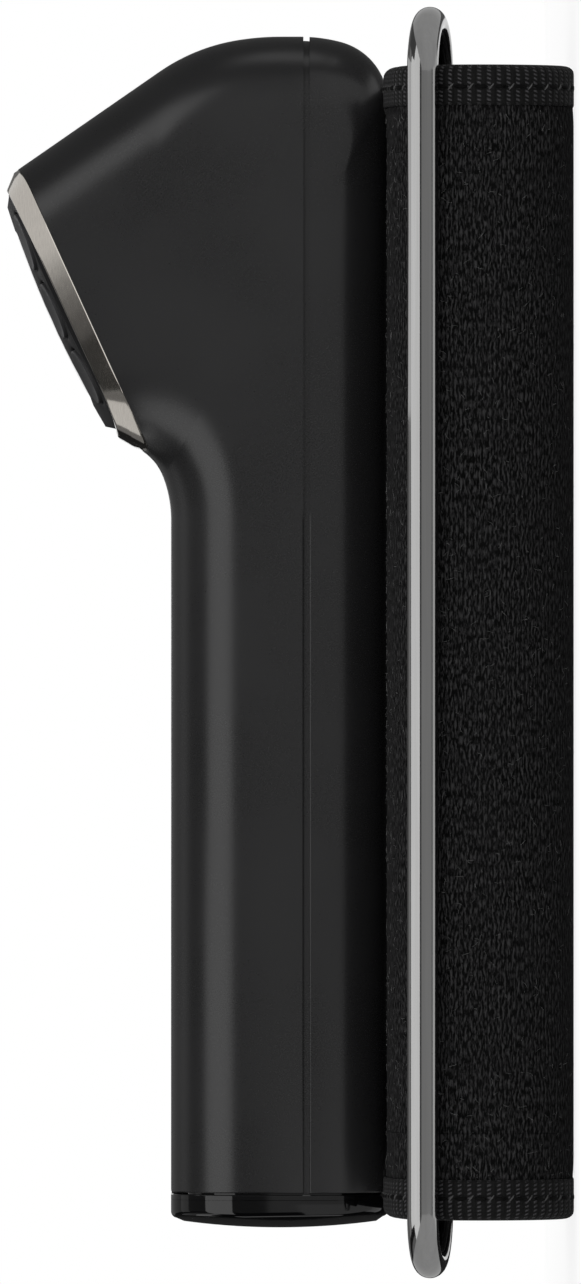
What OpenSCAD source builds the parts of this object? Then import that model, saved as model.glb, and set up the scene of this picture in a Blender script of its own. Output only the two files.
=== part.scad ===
/* [Housing] */
// Width across the housing
body_w = 48; // [46:0.5:54]
// Depth of the handle, front to back
handle_depth = 28.2; // [27.8:0.1:31]
// Length of the straight handle, from the cap seam up to the throat
handle_len = 87.3; // [85:0.1:110]
// Distance from the cuff's lower edge up to the cap seam
seam_rise = 2.7; // [2.5:0.1:6]
// Wall of the two shells
wall = 2; // [1.8:0.1:2.2]
// Radius of the long front edges
front_edge_r = 9.5; // [8.5:0.5:10.5]
// Radius of the long back edges
back_edge_r = 6.5; // [5.5:0.5:7.5]
// Height of the parting line above the back of the housing
split_rise = 10.6; // [9.5:0.1:11.5]
// Width of the parting groove between the two shells
groove_w = 0.8; // [0.5:0.1:1]
// Depth of the groove, down to the tongue
groove_depth = 0.55; // [0.4:0.05:0.8]
// Height of the tongue that locates the front shell
tongue_h = 1.6; // [1.2:0.1:2.2]

/* [Head] */
// Tilt of the face from the back plane, in degrees
face_tilt = 23.8; // [21:0.1:26]
// Length of the face, from throat to crown
face_len = 39.2; // [38.5:0.1:42]
// Slope of the head's top line, measured from square to the handle
head_slope = 34.7; // [32:0.1:38]
// Gentle first radius of the throat, next to the handle
throat_soft_r = 15.8; // [12:0.2:20]
// Tight second radius of the throat, under the face
throat_r = 7.8; // [6:0.2:10]
// Radius of the top back corner
crown_back_r = 8.3; // [7.5:0.1:9]
// Radius of the soft run from that corner to the top
crown_soft_r = 20.2; // [18:0.2:24]
// Radius of the soft run from the top towards the face
crown_front_r = 34.2; // [30:0.2:38]
// Radius of the shoulder above the face
shoulder_r = 24.7; // [22:0.2:27]

/* [Face] */
// Height of the metal bezel in front of the housing
bezel_h = 2.2; // [1.8:0.05:2.8]
// Inset of the bezel's front edge
bezel_slope = 1.85; // [1.4:0.05:2.2]
// Width of the flat front land of the bezel
bezel_land = 0.3; // [0.2:0.05:0.5]
// Rise of the fascia's middle above the bezel
dome_rise = 1.55; // [1.2:0.05:2]
// Radius of the fascia's crown along the face
dome_len_r = 136; // [100:2:200]
// Height of the crown's top above the middle of the face
dome_up = 1.1; // [0:0.1:2]
// Radius of the fascia's crown across the face
dome_wide_r = 200; // [150:5:300]
// Length of the display window
window_len = 23; // [20:0.5:23]
// Distance from the display window to the side of the housing
window_side = 5.5; // [5:0.1:7]
// Gap between the display window and the buttons
window_gap = 4.9; // [4.6:0.1:7]

/* [Buttons] */
// Diameter of a button
button_d = 7.7; // [7:0.1:8]
// Distance from one button to the next
button_pitch = 9.6; // [9.5:0.1:10]
// Distance from the middle of a button to the side of the housing
button_side = 7.8; // [7.7:0.1:8.4]
// Travel of a button
button_travel = 0.5; // [0.3:0.05:0.6]
// Depth of the dish in a button
dish_depth = 0.35; // [0.2:0.05:0.6]

/* [Battery end] */
// Height of the battery cap
cap_h = 4.6; // [4:0.1:6]
// Gap between the cap and the shells
cap_gap = 0.2; // [0.1:0.05:0.4]
// Length of the cap's skirt inside the shells
skirt_len = 4; // [3:0.2:4.6]
// Diameter of a battery cell
cell_d = 10.4; // [9.8:0.1:10.5]
// Length of a battery cell with its pip
cell_len = 44.4; // [40:0.2:45]

/* [Cuff] */
// Thickness of the plain strap
strap_t = 2.8; // [2.4:0.1:3]
// Thickness of the padded part that holds the bladder
pad_t = 5; // [5:0.1:5.4]
// Half of the length of a folded layer
fold_reach = 50; // [46:1:60]
// Gap between the two layers of plain strap
strap_gap = 2; // [1.8:0.1:2.6]
// Gap between the plain strap and the padded part
nap_gap = 2; // [1.8:0.1:2.4]
// Gap between the two padded layers
pad_gap = 0.6; // [0.4:0.1:0.8]
// Width of the binding tape
tape_w = 5.2; // [4:0.2:8]
// Thickness of the binding tape
tape_t = 0.4; // [0.3:0.05:0.5]
// Thickness of the bladder
bladder_t = 1.2; // [1:0.1:1.4]

/* [Ring] */
// Diameter of the ring's rod
rod_d = 4; // [3.6:0.1:4]
// Overall length of the ring
ring_len = 163.2; // [158:0.2:175]
// Gap between the edges of the cuff and the ends of the ring
ring_room = 3.5; // [3.3:0.1:8]
// Distance between the ring's two bars
bar_pitch = 13; // [12.9:0.1:14]

/* [Hidden] */
$fn = 48;

// Fits and small clearances
fit = 0.1;
slide_fit = 0.2;
over = 1;
far = 200;

// The cuff runs through the ring
cuff_w = ring_len - 2 * (rod_d + ring_room);

// Heights of the folded cuff, from the rest face up
lay_low = 0;
lay_back = lay_low + strap_t + strap_gap;
pad_low = lay_back + strap_t + nap_gap;
pad_high = pad_low + pad_t + pad_gap;
pad_top = pad_high + pad_t;
tail_gap = 0.6;
tail_low = pad_top + tail_gap;
tail_top = tail_low + strap_t;
bladder_low = pad_high + (pad_t - bladder_t) / 2;
bladder_top = bladder_low + bladder_t;
bladder_under = pad_low + (pad_t - bladder_t) / 2;

// Places of the folds
outer_turn_in = 2;
inner_turn_out = 2.5;
turn_x = fold_reach - outer_turn_in;
inner_turn_x = turn_x + inner_turn_out;
rod_r = rod_d / 2;
sleeve_t = 0.7;
sleeve_bore_r = rod_r + slide_fit;
sleeve_r = sleeve_bore_r + sleeve_t;
hinge_in = 0.5;
hinge_drop = 0.1;
hinge_x = turn_x - hinge_in;
hinge_z = pad_high + pad_t / 2 - hinge_drop;
tail_room = 6;
tail_end_x = body_w / 2 + tail_room;

// The housing's frame: [y, z] in the middle plane
housing_gap = 0.25;
seam_y = seam_rise - cuff_w / 2;
body_back = tail_top + housing_gap;
body_front = body_back + handle_depth;
throat_y = seam_y + handle_len;
split_z = body_back + split_rise;
corner_steps = 8;
soft_turn = 20;
throat_turn = 60;

// One step along a side outline: a point is [y, z, heading]
function run_on(p, len) = [p[0] + len * cos(p[2]), p[1] + len * sin(p[2]), p[2]];
function turn_on(p, r, turn) = [
    p[0] + r * (sin(p[2] + turn) - sin(p[2])),
    p[1] - r * (cos(p[2] + turn) - cos(p[2])),
    p[2] + turn
];
function advance(p, piece, s) = piece[1] == 0
    ? run_on(p, piece[0] * s)
    : turn_on(p, piece[0], piece[1] * s);

// The front outline from the handle, through the throat, to the lower end of the face
function front_at(t) = let(start = [throat_y, body_front, 0], a = throat_turn * t)
    a <= soft_turn
        ? turn_on(start, throat_soft_r, a)
        : turn_on(turn_on(start, throat_soft_r, soft_turn), throat_r, a - soft_turn);
face_low = front_at(1);
face_high = [
    face_low[0] + face_len * cos(face_tilt),
    face_low[1] + face_len * sin(face_tilt),
    90 + head_slope
];
face_mid = (face_low + face_high) / 2;

// The back outline: each piece is [length or radius, turn in degrees, steps]
back_soft_turn = 15;
front_soft_turn = 10;
top_flat = 2.6;
crown = [
    [crown_back_r, 90 - back_soft_turn, 10],
    [crown_soft_r, back_soft_turn, 2],
    [top_flat, 0, 1],
    [crown_front_r, front_soft_turn, 2],
    [shoulder_r, head_slope - front_soft_turn, 4]
];
function crown_end(p, k) = k < 0 ? p : advance(crown_end(p, k - 1), crown[k], 1);
crown_span = crown_end([0, body_back, 0], len(crown) - 1);
slope_len = (face_high[1] - crown_span[1]) / cos(head_slope);
crown_y = face_high[0] + slope_len * sin(head_slope) - crown_span[0];
back = concat([[crown_y - throat_y, 0, 6]], crown, [[slope_len, 0, 5]]);
function back_start(k) = k == 0
    ? [throat_y, body_back, 0]
    : advance(back_start(k - 1), back[k - 1], 1);
back_line = concat(
    [for (k = [0 : len(back) - 1], j = [0 : back[k][2] - 1])
        advance(back_start(k), back[k], j / back[k][2])],
    [face_high]
);
last = len(back_line) - 1;

// A section across the housing: elliptical corners in a plane, as [x, u] with u from front to back
function section(half, front_r, front_e, back_r, back_e, len) = [
    for (q = [0 : 3], k = [0 : corner_steps])
        let(
            a = 90 * (q + k / corner_steps),
            r = q < 2 ? front_r : back_r,
            e = q < 2 ? front_e : back_e,
            side = (q == 0 || q == 3) ? 1 : -1
        )
        [side * (half - r) + r * cos(a), (q < 2 ? e : len - e) - e * sin(a)]
];
front_stretch = 0.73;
back_stretch = 0.5;
function lean(line_angle, heading, least) = max(sin(heading - line_angle), least);
function back_r_at(heading) = back_edge_r + (front_edge_r - back_edge_r) * min(1, heading / 90);

// The section between two outline points, set in by a wall, as [x, u] along that line
function cut(f, b, inset) = let(
        d = [b[0] - f[0], b[1] - f[1]],
        angle = atan2(d[1], d[0]),
        lf = lean(angle, f[2], front_stretch),
        lb = lean(angle, b[2], back_stretch),
        u0 = inset / lf,
        u1 = norm(d) - inset / lb,
        fr = front_edge_r - inset,
        br = back_r_at(b[2]) - inset
    )
    [for (p = section(body_w / 2 - inset, fr, fr / lf, br, br / lb, u1 - u0)) [p[0], u0 + p[1]]];
function ring_at(f, b, inset) = let(to = [b[0] - f[0], b[1] - f[1]], d = to / norm(to))
    [for (p = cut(f, b, inset)) [p[0], f[0] + p[1] * d[0], f[1] + p[1] * d[1]]];
function station(i, inset) = i == 0
    ? ring_at([seam_y, body_front, 0], [seam_y, body_back, 0], inset)
    : ring_at(front_at((i - 1) / last), back_line[i - 1], inset);
stations = last + 1;

// The outline at the face, as [x, along the face], and across the handle, as [x, z]
function face_loop(inset) = [for (p = cut(face_low, face_high, inset)) [p[0], p[1] - face_len / 2]];
function handle_loop(inset) = [
    for (p = cut([seam_y, body_front, 0], [seam_y, body_back, 0], inset)) [p[0], body_front - p[1]]
];

// A solid through rings of points, closed on itself like a tube or capped at both ends
module skin(rings, closed) {
    n = len(rings);
    m = len(rings[0]);
    sides = [
        for (i = [0 : closed ? n - 1 : n - 2], j = [0 : m - 1], half = [0, 1])
            let(a = i * m, b = ((i + 1) % n) * m, k = (j + 1) % m)
            half == 0 ? [a + j, b + k, b + j] : [a + j, a + k, b + k]
    ];
    caps = closed ? [] : [[for (j = [m - 1 : -1 : 0]) j], [for (j = [0 : m - 1]) (n - 1) * m + j]];
    polyhedron([for (r = rings) each r], concat(sides, caps), convexity = 6);
}
// The walls, and the solid inside them, from the seam up to one station
module housing(outside, inside, upto) {
    skin(concat(
        [for (i = [0 : upto]) station(i, outside)],
        [for (i = [upto : -1 : 0]) station(i, inside)]
    ), true);
}
module core(inset, upto) {
    skin([for (i = [0 : upto]) station(i, inset)], false);
}
module slab(low, high) {
    translate([-far, -far, low]) cube([2 * far, 2 * far, high - low]);
}
module face_frame(profile) {
    skin([for (p = profile) [for (q = face_loop(p[0])) [q[0], q[1], p[1]]]], true);
}

// The face's own frame: x across, y up the face, z out of it
module on_face() {
    translate([0, face_mid[0], face_mid[1]]) rotate([face_tilt, 0, 0]) children();
}
module along_y(len) {
    rotate([90, 0, 0]) linear_extrude(len, center = true) children();
}
module round_plate(w, len, h, r) {
    linear_extrude(h) {
        square([w - 2 * r, len], center = true);
        square([w, len - 2 * r], center = true);
        for (x = [-1, 1], y = [-1, 1]) translate([x * (w / 2 - r), y * (len / 2 - r)]) circle(r);
    }
}

// Four cells side by side in a square cage
cell_gap = 0.9;
cell_fit = 0.6;
cage_wall = 0.6;
cell_pitch = cell_d + cell_gap;
cage_bore = cell_d + cell_fit;
cage_w = cell_pitch + cage_bore + 2 * cage_wall;

// Shells
front_low = split_z + groove_w / 2;
rear_high = split_z - groove_w / 2;
tongue_top = front_low + tongue_h;
// The first station whose whole section lies above the tongue
crown_station = min([for (i = [0 : last]) if (back_line[i][1] > tongue_top + 1) i]) + 1;
floor_z = body_back + wall;
boss_r = 3;
boss_sink = wall / 4;
screw_r = 1.25;
screw_len = 14;
screw_head_r = 2.1;
screw_head_h = 1.4;
screw_seat = 2.2;
thread_depth = 9;
key_r = 0.8;
key_depth = 0.7;
// The two shells' screws stand beside the battery cage, the throat and the crown
boss_gap = 1.75;
boss_x = cage_w / 2 + boss_gap + boss_r;
boss_end = 10;
boss_y = [seam_y + boss_end, throat_y - boss_end, crown_y + fit];
module shell_boss_places() {
    for (x = [-boss_x, boss_x], y = boss_y) translate([x, y, 0]) children();
}
// Everything under the head's top line and the handle's front, set in by a depth
module under_front(depth) {
    difference() {
        translate([0, face_high[0], face_high[1]]) rotate([head_slope - 90, 0, 0])
            translate([-far, -far, -2 * far - depth]) cube([2 * far, 2 * far, 2 * far]);
        translate([-far, -far, body_front - depth]) cube([2 * far, far + throat_y, 2 * far]);
    }
}
module front_shell() {
    color("#2b2b2d") difference() {
        union() {
            difference() {
                housing(0, wall, stations);
                slab(-far, front_low);
                intersection() {
                    core(groove_depth - fit / 2, crown_station);
                    slab(front_low - over, tongue_top + fit);
                }
            }
            intersection() {
                under_front(wall - fit);
                shell_boss_places() translate([0, 0, front_low + fit]) cylinder(r = boss_r, h = far);
            }
        }
        shell_boss_places() translate([0, 0, front_low]) cylinder(r = screw_r + fit / 2, h = thread_depth);
    }
}
module rear_shell() {
    color("#2b2b2d") difference() {
        union() {
            difference() {
                housing(0, wall, crown_station);
                slab(rear_high, far);
            }
            intersection() {
                housing(groove_depth, wall, crown_station);
                slab(rear_high, tongue_top);
            }
            translate([0, 0, floor_z - boss_sink]) {
                shell_boss_places() cylinder(r = boss_r, h = front_low - fit - floor_z + boss_sink);
                plate_screw_places() cylinder(r = plate_boss_r, h = plate_boss_h + boss_sink);
            }
            for (x = cradle_x) pump_cradle(x);
        }
        shell_boss_places() {
            cylinder(r = screw_r + fit, h = far);
            translate([0, 0, body_back - over]) cylinder(r = screw_head_r + fit, h = over + screw_seat);
        }
        plate_screw_places() cylinder(r = plate_screw_r + fit / 2, h = floor_z + plate_boss_h + over);
        translate([0, nozzle_y, 0]) cylinder(r = nozzle_r + fit, h = far);
    }
}
module shell_screws() {
    color("#8d9096") shell_boss_places() translate([0, 0, body_back + screw_seat - screw_head_h]) {
        difference() {
            cylinder(r = screw_head_r, h = screw_head_h);
            translate([0, 0, -over]) cylinder(r = key_r, h = over + key_depth, $fn = 6);
        }
        translate([0, 0, screw_head_h]) cylinder(r = screw_r, h = screw_len);
    }
}

// Face parts, in the face's own frame
seat_z = 0.35;
bezel_foot = 0.05;
bezel_lip = bezel_slope + bezel_land;
lip_draft = 0.1;
well_inset = bezel_lip + lip_draft;
spigot_inset = wall + slide_fit;
spigot_t = 1;
spigot_low = -2.4;
spigot_inner = spigot_inset + spigot_t;
module bezel() {
    color("#a9a29a") on_face() face_frame([
        [0, bezel_foot],
        [bezel_slope, bezel_h],
        [bezel_lip, bezel_h],
        [well_inset, seat_z],
        [spigot_inner, seat_z],
        [spigot_inner, spigot_low],
        [spigot_inset, spigot_low],
        [spigot_inset, bezel_foot]
    ]);
}
dome_z = bezel_h + dome_rise;
function dome_at(x, y) = dome_z - dome_wide_r + sqrt(pow(dome_wide_r, 2) - x * x)
    - dome_len_r + sqrt(pow(dome_len_r, 2) - pow(y - dome_up, 2));
// A barrel whose crown is the fascia's surface, lowered by drop
module dome(drop) {
    translate([0, dome_up, dome_z - dome_len_r]) rotate([0, 90, 0]) rotate_extrude($fn = 256) intersection() {
        translate([dome_len_r - dome_wide_r, 0]) circle(dome_wide_r - drop, $fn = 256);
        translate([0, -body_w]) square([2 * dome_len_r, 2 * body_w]);
    }
}
button_places = [1, 0, -1];
button_y0 = 1;
button_x = body_w / 2 - button_side;
function button_y(i) = button_y0 + i * button_pitch;
// The frame of one button: its z points out along the fascia's own slope
module on_button(i) {
    translate([button_x, button_y(i), dome_at(button_x, button_y(i))])
        rotate([-asin((button_y(i) - dome_up) / dome_len_r), asin(button_x / dome_wide_r), 0]) children();
}
flange_lip = 0.5;
flange_r = button_d / 2 + flange_lip;
flange_top = -2;
flange_t = 0.8;
window_left = window_side - body_w / 2;
window_right = button_x - button_d / 2 - window_gap;
window_w = window_right - window_left;
window_mid = (window_left + window_right) / 2;
window_rise = 0.5;
window_ledge = 1;
window_corner = 1.6;
window_seat = 1.4;
module window_plate(more, h, r) {
    translate([window_mid, window_rise, 0])
        round_plate(window_w + 2 * more, window_len + 2 * more, h, r);
}
lcd_t = 1.7;
lcd_edge = 0.6;
// Posts that carry the main board, clear of the display
post_r = 1.6;
post_bore_r = 0.95;
post_bore = 3.5;
post_in = 5.5;
post_out = 1.1;
post_up = window_len / 2 + lcd_edge + slide_fit + post_r;
post_places = [
    for (x = [window_left + post_in, window_right + post_r + post_out], side = [1, -1])
        [x, window_rise + side * post_up]
];
board_top = -6;
board_t = 1.2;
pocket_z = -1;
skirt_top = seat_z + fit / 2;
module fascia() {
    color("#1c1c1f") on_face() difference() {
        union() {
            intersection() {
                translate([0, 0, skirt_top]) linear_extrude(far) polygon(face_loop(well_inset + fit));
                dome(0);
            }
            difference() {
                translate([0, 0, pocket_z]) linear_extrude(skirt_top - pocket_z)
                    polygon(face_loop(spigot_inner + fit));
                translate([button_x, button_y(-1) - flange_r - slide_fit, pocket_z - over])
                    cube([far, 2 * (button_pitch + flange_r + slide_fit), skirt_top - pocket_z + over]);
            }
            for (p = post_places) translate([p[0], p[1], board_top + fit / 2])
                cylinder(r = post_r, h = pocket_z - board_top);
        }
        translate([0, 0, window_seat]) window_plate(0, far, window_corner);
        translate([0, 0, window_seat + over / 2 - far]) window_plate(-window_ledge, far, window_ledge);
        for (i = button_places) on_button(i) {
            translate([0, 0, -far / 2]) cylinder(d = button_d + 2 * slide_fit, h = far);
            translate([0, 0, -far]) cylinder(r = flange_r + slide_fit, h = far + flange_top + fit / 2);
        }
        for (p = post_places) translate([p[0], p[1], board_top - over])
            cylinder(r = post_bore_r, h = post_bore + over);
    }
}
window_drop = 0.05;
module display_window() {
    color("#101216") on_face() intersection() {
        translate([0, 0, window_seat + fit / 2]) window_plate(-fit, far, window_corner - fit);
        dome(window_drop);
    }
}
guide_wall = 2;
guide_roof = 1.4;
module lcd_panel() {
    color("#39443c") on_face() translate([0, 0, pocket_z - fit - lcd_t])
        window_plate(lcd_edge, lcd_t, lcd_edge);
}
module light_guide() {
    guide_h = pocket_z - board_top - lcd_t - 2 * fit;
    color("#e8e8e4") on_face() translate([0, 0, board_top + fit / 2]) difference() {
        window_plate(lcd_edge, guide_h, lcd_edge);
        translate([0, 0, -over]) window_plate(lcd_edge - guide_wall, guide_h - guide_roof + over, lcd_edge);
    }
}
stem_r = 1.5;
switch_w = 6;
switch_h = 2;
plunger_r = 1.75;
plunger_h = 0.6;
rim = 0.25;
dish_in = 0.3;
module button(i) {
    z = dome_at(button_x, button_y(i));
    stem_low = board_top + switch_h + plunger_h + button_travel + slide_fit - z;
    on_face() on_button(i) {
        rotate_extrude($fn = 96) difference() {
            union() {
                square([button_d / 2, rim]);
                translate([0, flange_top]) square([button_d / 2, -flange_top]);
                translate([0, flange_top - flange_t]) square([flange_r, flange_t]);
                translate([0, stem_low]) square([stem_r, flange_top - flange_t - stem_low]);
            }
            dish_r = (pow(button_d / 2 - dish_in, 2) + pow(dish_depth, 2)) / (2 * dish_depth);
            translate([0, rim - dish_depth + dish_r]) intersection() {
                circle(dish_r, $fn = 200);
                translate([0, -dish_r]) square([button_d / 2, dish_r]);
            }
        }
    }
}
module button_top() {
    color("#232326") button(1);
}
module button_middle() {
    color("#232326") button(0);
}
module button_bottom() {
    color("#232326") button(-1);
}

// Electronics behind the face
board_low = board_top - board_t;
board_gap = 0.8;
small_screw_r = 0.9;
small_head_r = 1.8;
small_head_h = 1.1;
module main_board() {
    color("#1f5a3a") on_face() translate([0, 0, board_low]) difference() {
        linear_extrude(board_t) polygon(face_loop(wall + board_gap));
        for (p = post_places) translate([p[0], p[1], -over])
            cylinder(r = small_screw_r + fit, h = board_t + 2 * over);
    }
}
module key_switches() {
    color("#c9c9c6") on_face() for (i = button_places) translate([button_x, button_y(i), board_top]) {
        translate([-switch_w / 2, -switch_w / 2, 0]) cube([switch_w, switch_w, switch_h]);
        translate([0, 0, switch_h]) cylinder(r = plunger_r, h = plunger_h);
    }
}
// Each chip is [x, y, width, length, height]
chip_plan = [
    [-14, 4, 7, 7, 1.2],
    [-5, 8, 5, 5, 1],
    [-15, -7, 4, 6, 1.4],
    [3, 8, 6, 4, 1.6],
    [-6, -1, 3, 3, 0.9]
];
module board_chips() {
    color("#2a2a2c") on_face() for (c = chip_plan)
        translate([c[0], c[1], board_low - c[4]]) cube([c[2], c[3], c[4]]);
}
sensor_x = 1;
sensor_y = -12;
sensor_w = 7;
sensor_h = 3.5;
barb_len = 4;
barb_r = 1.1;
module pressure_sensor() {
    color("#d7d4cb") on_face() translate([sensor_x, sensor_y, board_low - sensor_h]) {
        translate([-sensor_w / 2, -sensor_w / 2, 0]) cube([sensor_w, sensor_w, sensor_h]);
        translate([0, 0, -barb_len]) cylinder(r = barb_r, h = barb_len);
    }
}
module board_screws() {
    color("#8d9096") on_face() for (p = post_places) translate([p[0], p[1], board_low]) {
        translate([0, 0, -small_head_h]) cylinder(r = small_head_r, h = small_head_h);
        cylinder(r = small_screw_r, h = board_t + post_bore - 0.5);
    }
}

// Air system: pump, valve, manifold and hoses
pump_r = 10.6;
pump_room = 2.6;
pump_up = 39;
pump_y = throat_y + pump_up;
pump_z = floor_z + pump_r + pump_room;
motor_side = 3;
motor_x = motor_side + wall - body_w / 2;
motor_len = 21.5;
shaft_r = 3;
shaft_len = 1;
head_len = 14;
head_x = motor_x + motor_len + fit;
band_t = 1.2;
band_edge = 0.5;
cradle_w = 3;
cradle_in = 3;
cradle_pitch = 10;
cradle_drop = 5;
cradle_x = [motor_x + cradle_in, motor_x + cradle_in + cradle_pitch];
module along_x(x) {
    translate([x, pump_y, pump_z]) rotate([0, 90, 0]) children();
}
module pump_cradle(x) {
    difference() {
        translate([x, pump_y - pump_r, floor_z - boss_sink])
            cube([cradle_w, 2 * pump_r, pump_z - floor_z + boss_sink - cradle_drop]);
        along_x(x - over) cylinder(r = pump_r + band_t + fit, h = cradle_w + 2 * over);
    }
}
module pump_motor() {
    color("#b9babd") along_x(motor_x) {
        cylinder(r = pump_r, h = motor_len);
        translate([0, 0, -shaft_len]) cylinder(r = shaft_r, h = shaft_len);
    }
}
module pump_band() {
    band_w = cradle_pitch + cradle_w + 2 * band_edge;
    color("#3a3a3c") along_x(motor_x + cradle_in - band_edge) difference() {
        cylinder(r = pump_r + band_t, h = band_w);
        translate([0, 0, -over]) cylinder(r = pump_r + fit / 2, h = band_w + 2 * over);
    }
}
outlet_x = 10;
outlet_rise = 4.2;
outlet_z = floor_z + outlet_rise;
head_y = pump_y - pump_r;
stub_r = 1.5;
stub_len = 4;
stub_root = 0.5;
module pump_head() {
    color("#dcdcd8") {
        translate([head_x, head_y, pump_z - pump_r]) cube([head_len, 2 * pump_r, 2 * pump_r]);
        translate([outlet_x, head_y + stub_root, outlet_z]) rotate([90, 0, 0])
            cylinder(r = stub_r, h = stub_len + stub_root);
    }
}
manifold_drop = 6;
manifold_y = throat_y - manifold_drop;
manifold_len = 15;
manifold_end = manifold_y + manifold_len;
manifold_w = 26;
manifold_h = 8.4;
manifold_wall = 2;
nozzle_in = 5;
nozzle_y = manifold_y + nozzle_in;
nozzle_r = 2;
nozzle_bore_r = 1.1;
nozzle_reach = 3;
duct_r = 0.7;
cross_duct_r = 0.9;
valve_x = -8.5;
valve_r = 5.5;
valve_len = 12;
valve_y = manifold_end + stub_len;
module air_manifold() {
    color("#cfcfca") difference() {
        union() {
            translate([-manifold_w / 2, manifold_y, floor_z + fit])
                cube([manifold_w, manifold_len, manifold_h]);
            for (x = [valve_x, sensor_x, outlet_x]) translate([x, manifold_end, outlet_z])
                rotate([-90, 0, 0]) cylinder(r = stub_r, h = x == valve_x ? stub_len - fit : stub_len);
        }
        for (x = [valve_x, sensor_x, outlet_x]) translate([x, nozzle_y - cross_duct_r, outlet_z])
            rotate([-90, 0, 0]) cylinder(r = duct_r, h = far);
        translate([manifold_wall - manifold_w / 2, nozzle_y, outlet_z]) rotate([0, 90, 0])
            cylinder(r = cross_duct_r, h = manifold_w - 2 * manifold_wall);
        translate([0, nozzle_y, 0]) cylinder(r = nozzle_r + fit / 2, h = floor_z + nozzle_reach);
    }
}
terminal_w = 9;
terminal_t = 1;
module release_valve() {
    color("#9a9ca0") {
        translate([valve_x, valve_y, floor_z + valve_r + fit]) rotate([-90, 0, 0])
            cylinder(r = valve_r, h = valve_len);
        translate([valve_x - terminal_w / 2, valve_y + terminal_t, floor_z + 2 * valve_r])
            cube([terminal_w, valve_len - 2 * terminal_t, terminal_t]);
    }
}
hose_r = 2.3;
bend_r = 7;
// The barb's tip in the middle plane, and the hose that rises to it from the manifold
function face_yz(y, z) = [
    face_mid[0] + y * cos(face_tilt) - z * sin(face_tilt),
    face_mid[1] + y * sin(face_tilt) + z * cos(face_tilt)
];
barb_tip = face_yz(sensor_y, board_low - sensor_h - barb_len);
bend_turn = 90 + face_tilt;
rise = bend_r * (1 - cos(bend_turn));
upper_run = (barb_tip[1] - outlet_z - rise) / cos(face_tilt);
lower_run = barb_tip[0] + upper_run * sin(face_tilt) - bend_r * sin(bend_turn) - manifold_end;
hose_grip = 3;
// The bent hose's middle line from the manifold to the barb, as [y, z, heading]
bend_steps = 8;
bend_from = [manifold_end + lower_run, outlet_z, 0];
hose_line = concat(
    [[manifold_end + fit, outlet_z, 0]],
    [for (k = [0 : bend_steps]) turn_on(bend_from, bend_r, bend_turn * k / bend_steps)],
    [run_on([barb_tip[0], barb_tip[1], bend_turn], hose_grip)]
);
hose_sides = 12;
function hose_ring(p, r) = [
    for (k = [0 : hose_sides - 1]) let(a = 360 * k / hose_sides)
        [sensor_x + r * cos(a), p[0] - r * sin(a) * sin(p[2]), p[1] + r * sin(a) * cos(p[2])]
];
module air_hoses() {
    color("#e6e3da") {
        translate([outlet_x, manifold_end + fit, outlet_z]) rotate([-90, 0, 0]) difference() {
            cylinder(r = hose_r, h = head_y - manifold_end - 2 * fit);
            translate([0, 0, -over]) cylinder(r = stub_r + fit / 2, h = far);
        }
        skin(concat(
            [for (p = hose_line) hose_ring(p, hose_r)],
            [for (k = [len(hose_line) - 1 : -1 : 0]) hose_ring(hose_line[k], stub_r + fit)]
        ), true);
    }
}
nozzle_foot_r = 4.5;
nozzle_foot_h = 0.7;
nozzle_end = 0.4;
module cuff_nozzle() {
    nozzle_len = floor_z + nozzle_reach - nozzle_end - bladder_top - fit;
    color("#cfcfca") translate([0, nozzle_y, bladder_top + fit]) difference() {
        union() {
            cylinder(r = nozzle_foot_r, h = nozzle_foot_h);
            cylinder(r = nozzle_r, h = nozzle_len);
        }
        translate([0, 0, -over]) cylinder(r = nozzle_bore_r, h = nozzle_len + 2 * over);
    }
}

// Battery compartment
cage_mid = (body_back + body_front) / 2;
cage_low = cage_mid - cage_w / 2;
cage_in = 5.2;
cage_y = seam_y + cage_in;
cage_end = 1;
spring_r = 2.4;
spring_len = 2.4;
spring_plate_r = 4;
spring_plate_t = 0.4;
cell_out = 0.4;
cell_y = cage_y - cell_out;
cage_len = cell_len + spring_len + cage_end + cell_out;
pip_r = 1.9;
pip_h = 1.2;
foot_w = 2;
foot_len = 4;
module cell_places() {
    for (x = [-0.5, 0.5], z = [-0.5, 0.5])
        translate([x * cell_pitch, cell_y, cage_mid + z * cell_pitch]) rotate([-90, 0, 0]) children();
}
module battery_cage() {
    color("#4a4a4d") {
        difference() {
            translate([-cage_w / 2, cage_y, cage_low]) cube([cage_w, cage_len, cage_w]);
            cell_places() translate([0, 0, -over])
                cylinder(d = cage_bore, h = cage_len - cage_end + cell_out + over);
        }
        for (x = [-cage_w / 2, cage_w / 2 - foot_w], y = [0.2, 0.8])
            translate([x, cage_y + y * cage_len - foot_len / 2, floor_z + fit])
                cube([foot_w, foot_len, cage_low - floor_z - fit]);
    }
}
module battery_cells() {
    color("#c87f2e") cell_places() {
        cylinder(d = cell_d, h = cell_len - pip_h);
        translate([0, 0, cell_len - pip_h]) cylinder(r = pip_r, h = pip_h);
    }
}
module cell_springs() {
    color("#c3b27a") cell_places() translate([0, 0, cell_len + fit]) {
        cylinder(r = spring_r, h = spring_len - spring_plate_t);
        translate([0, 0, spring_len - spring_plate_t]) cylinder(r = spring_plate_r, h = spring_plate_t);
    }
}
cap_y = seam_y - cap_gap;
cap_floor = 1.4;
skirt_inset = wall + slide_fit;
skirt_t = 1.1;
cap_long_r = 180;
cap_deep_r = 65;
contact_t = 0.3;
contact_w = 8;
contact_more = 3;
module cap_crown() {
    translate([0, cap_y - cap_h + cap_deep_r, cage_mid]) rotate([0, 90, 0])
        rotate_extrude($fn = 200) intersection() {
            translate([cap_deep_r - cap_long_r, 0]) circle(cap_long_r, $fn = 200);
            translate([0, -body_w]) square([2 * cap_deep_r, 2 * body_w]);
        }
}
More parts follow.
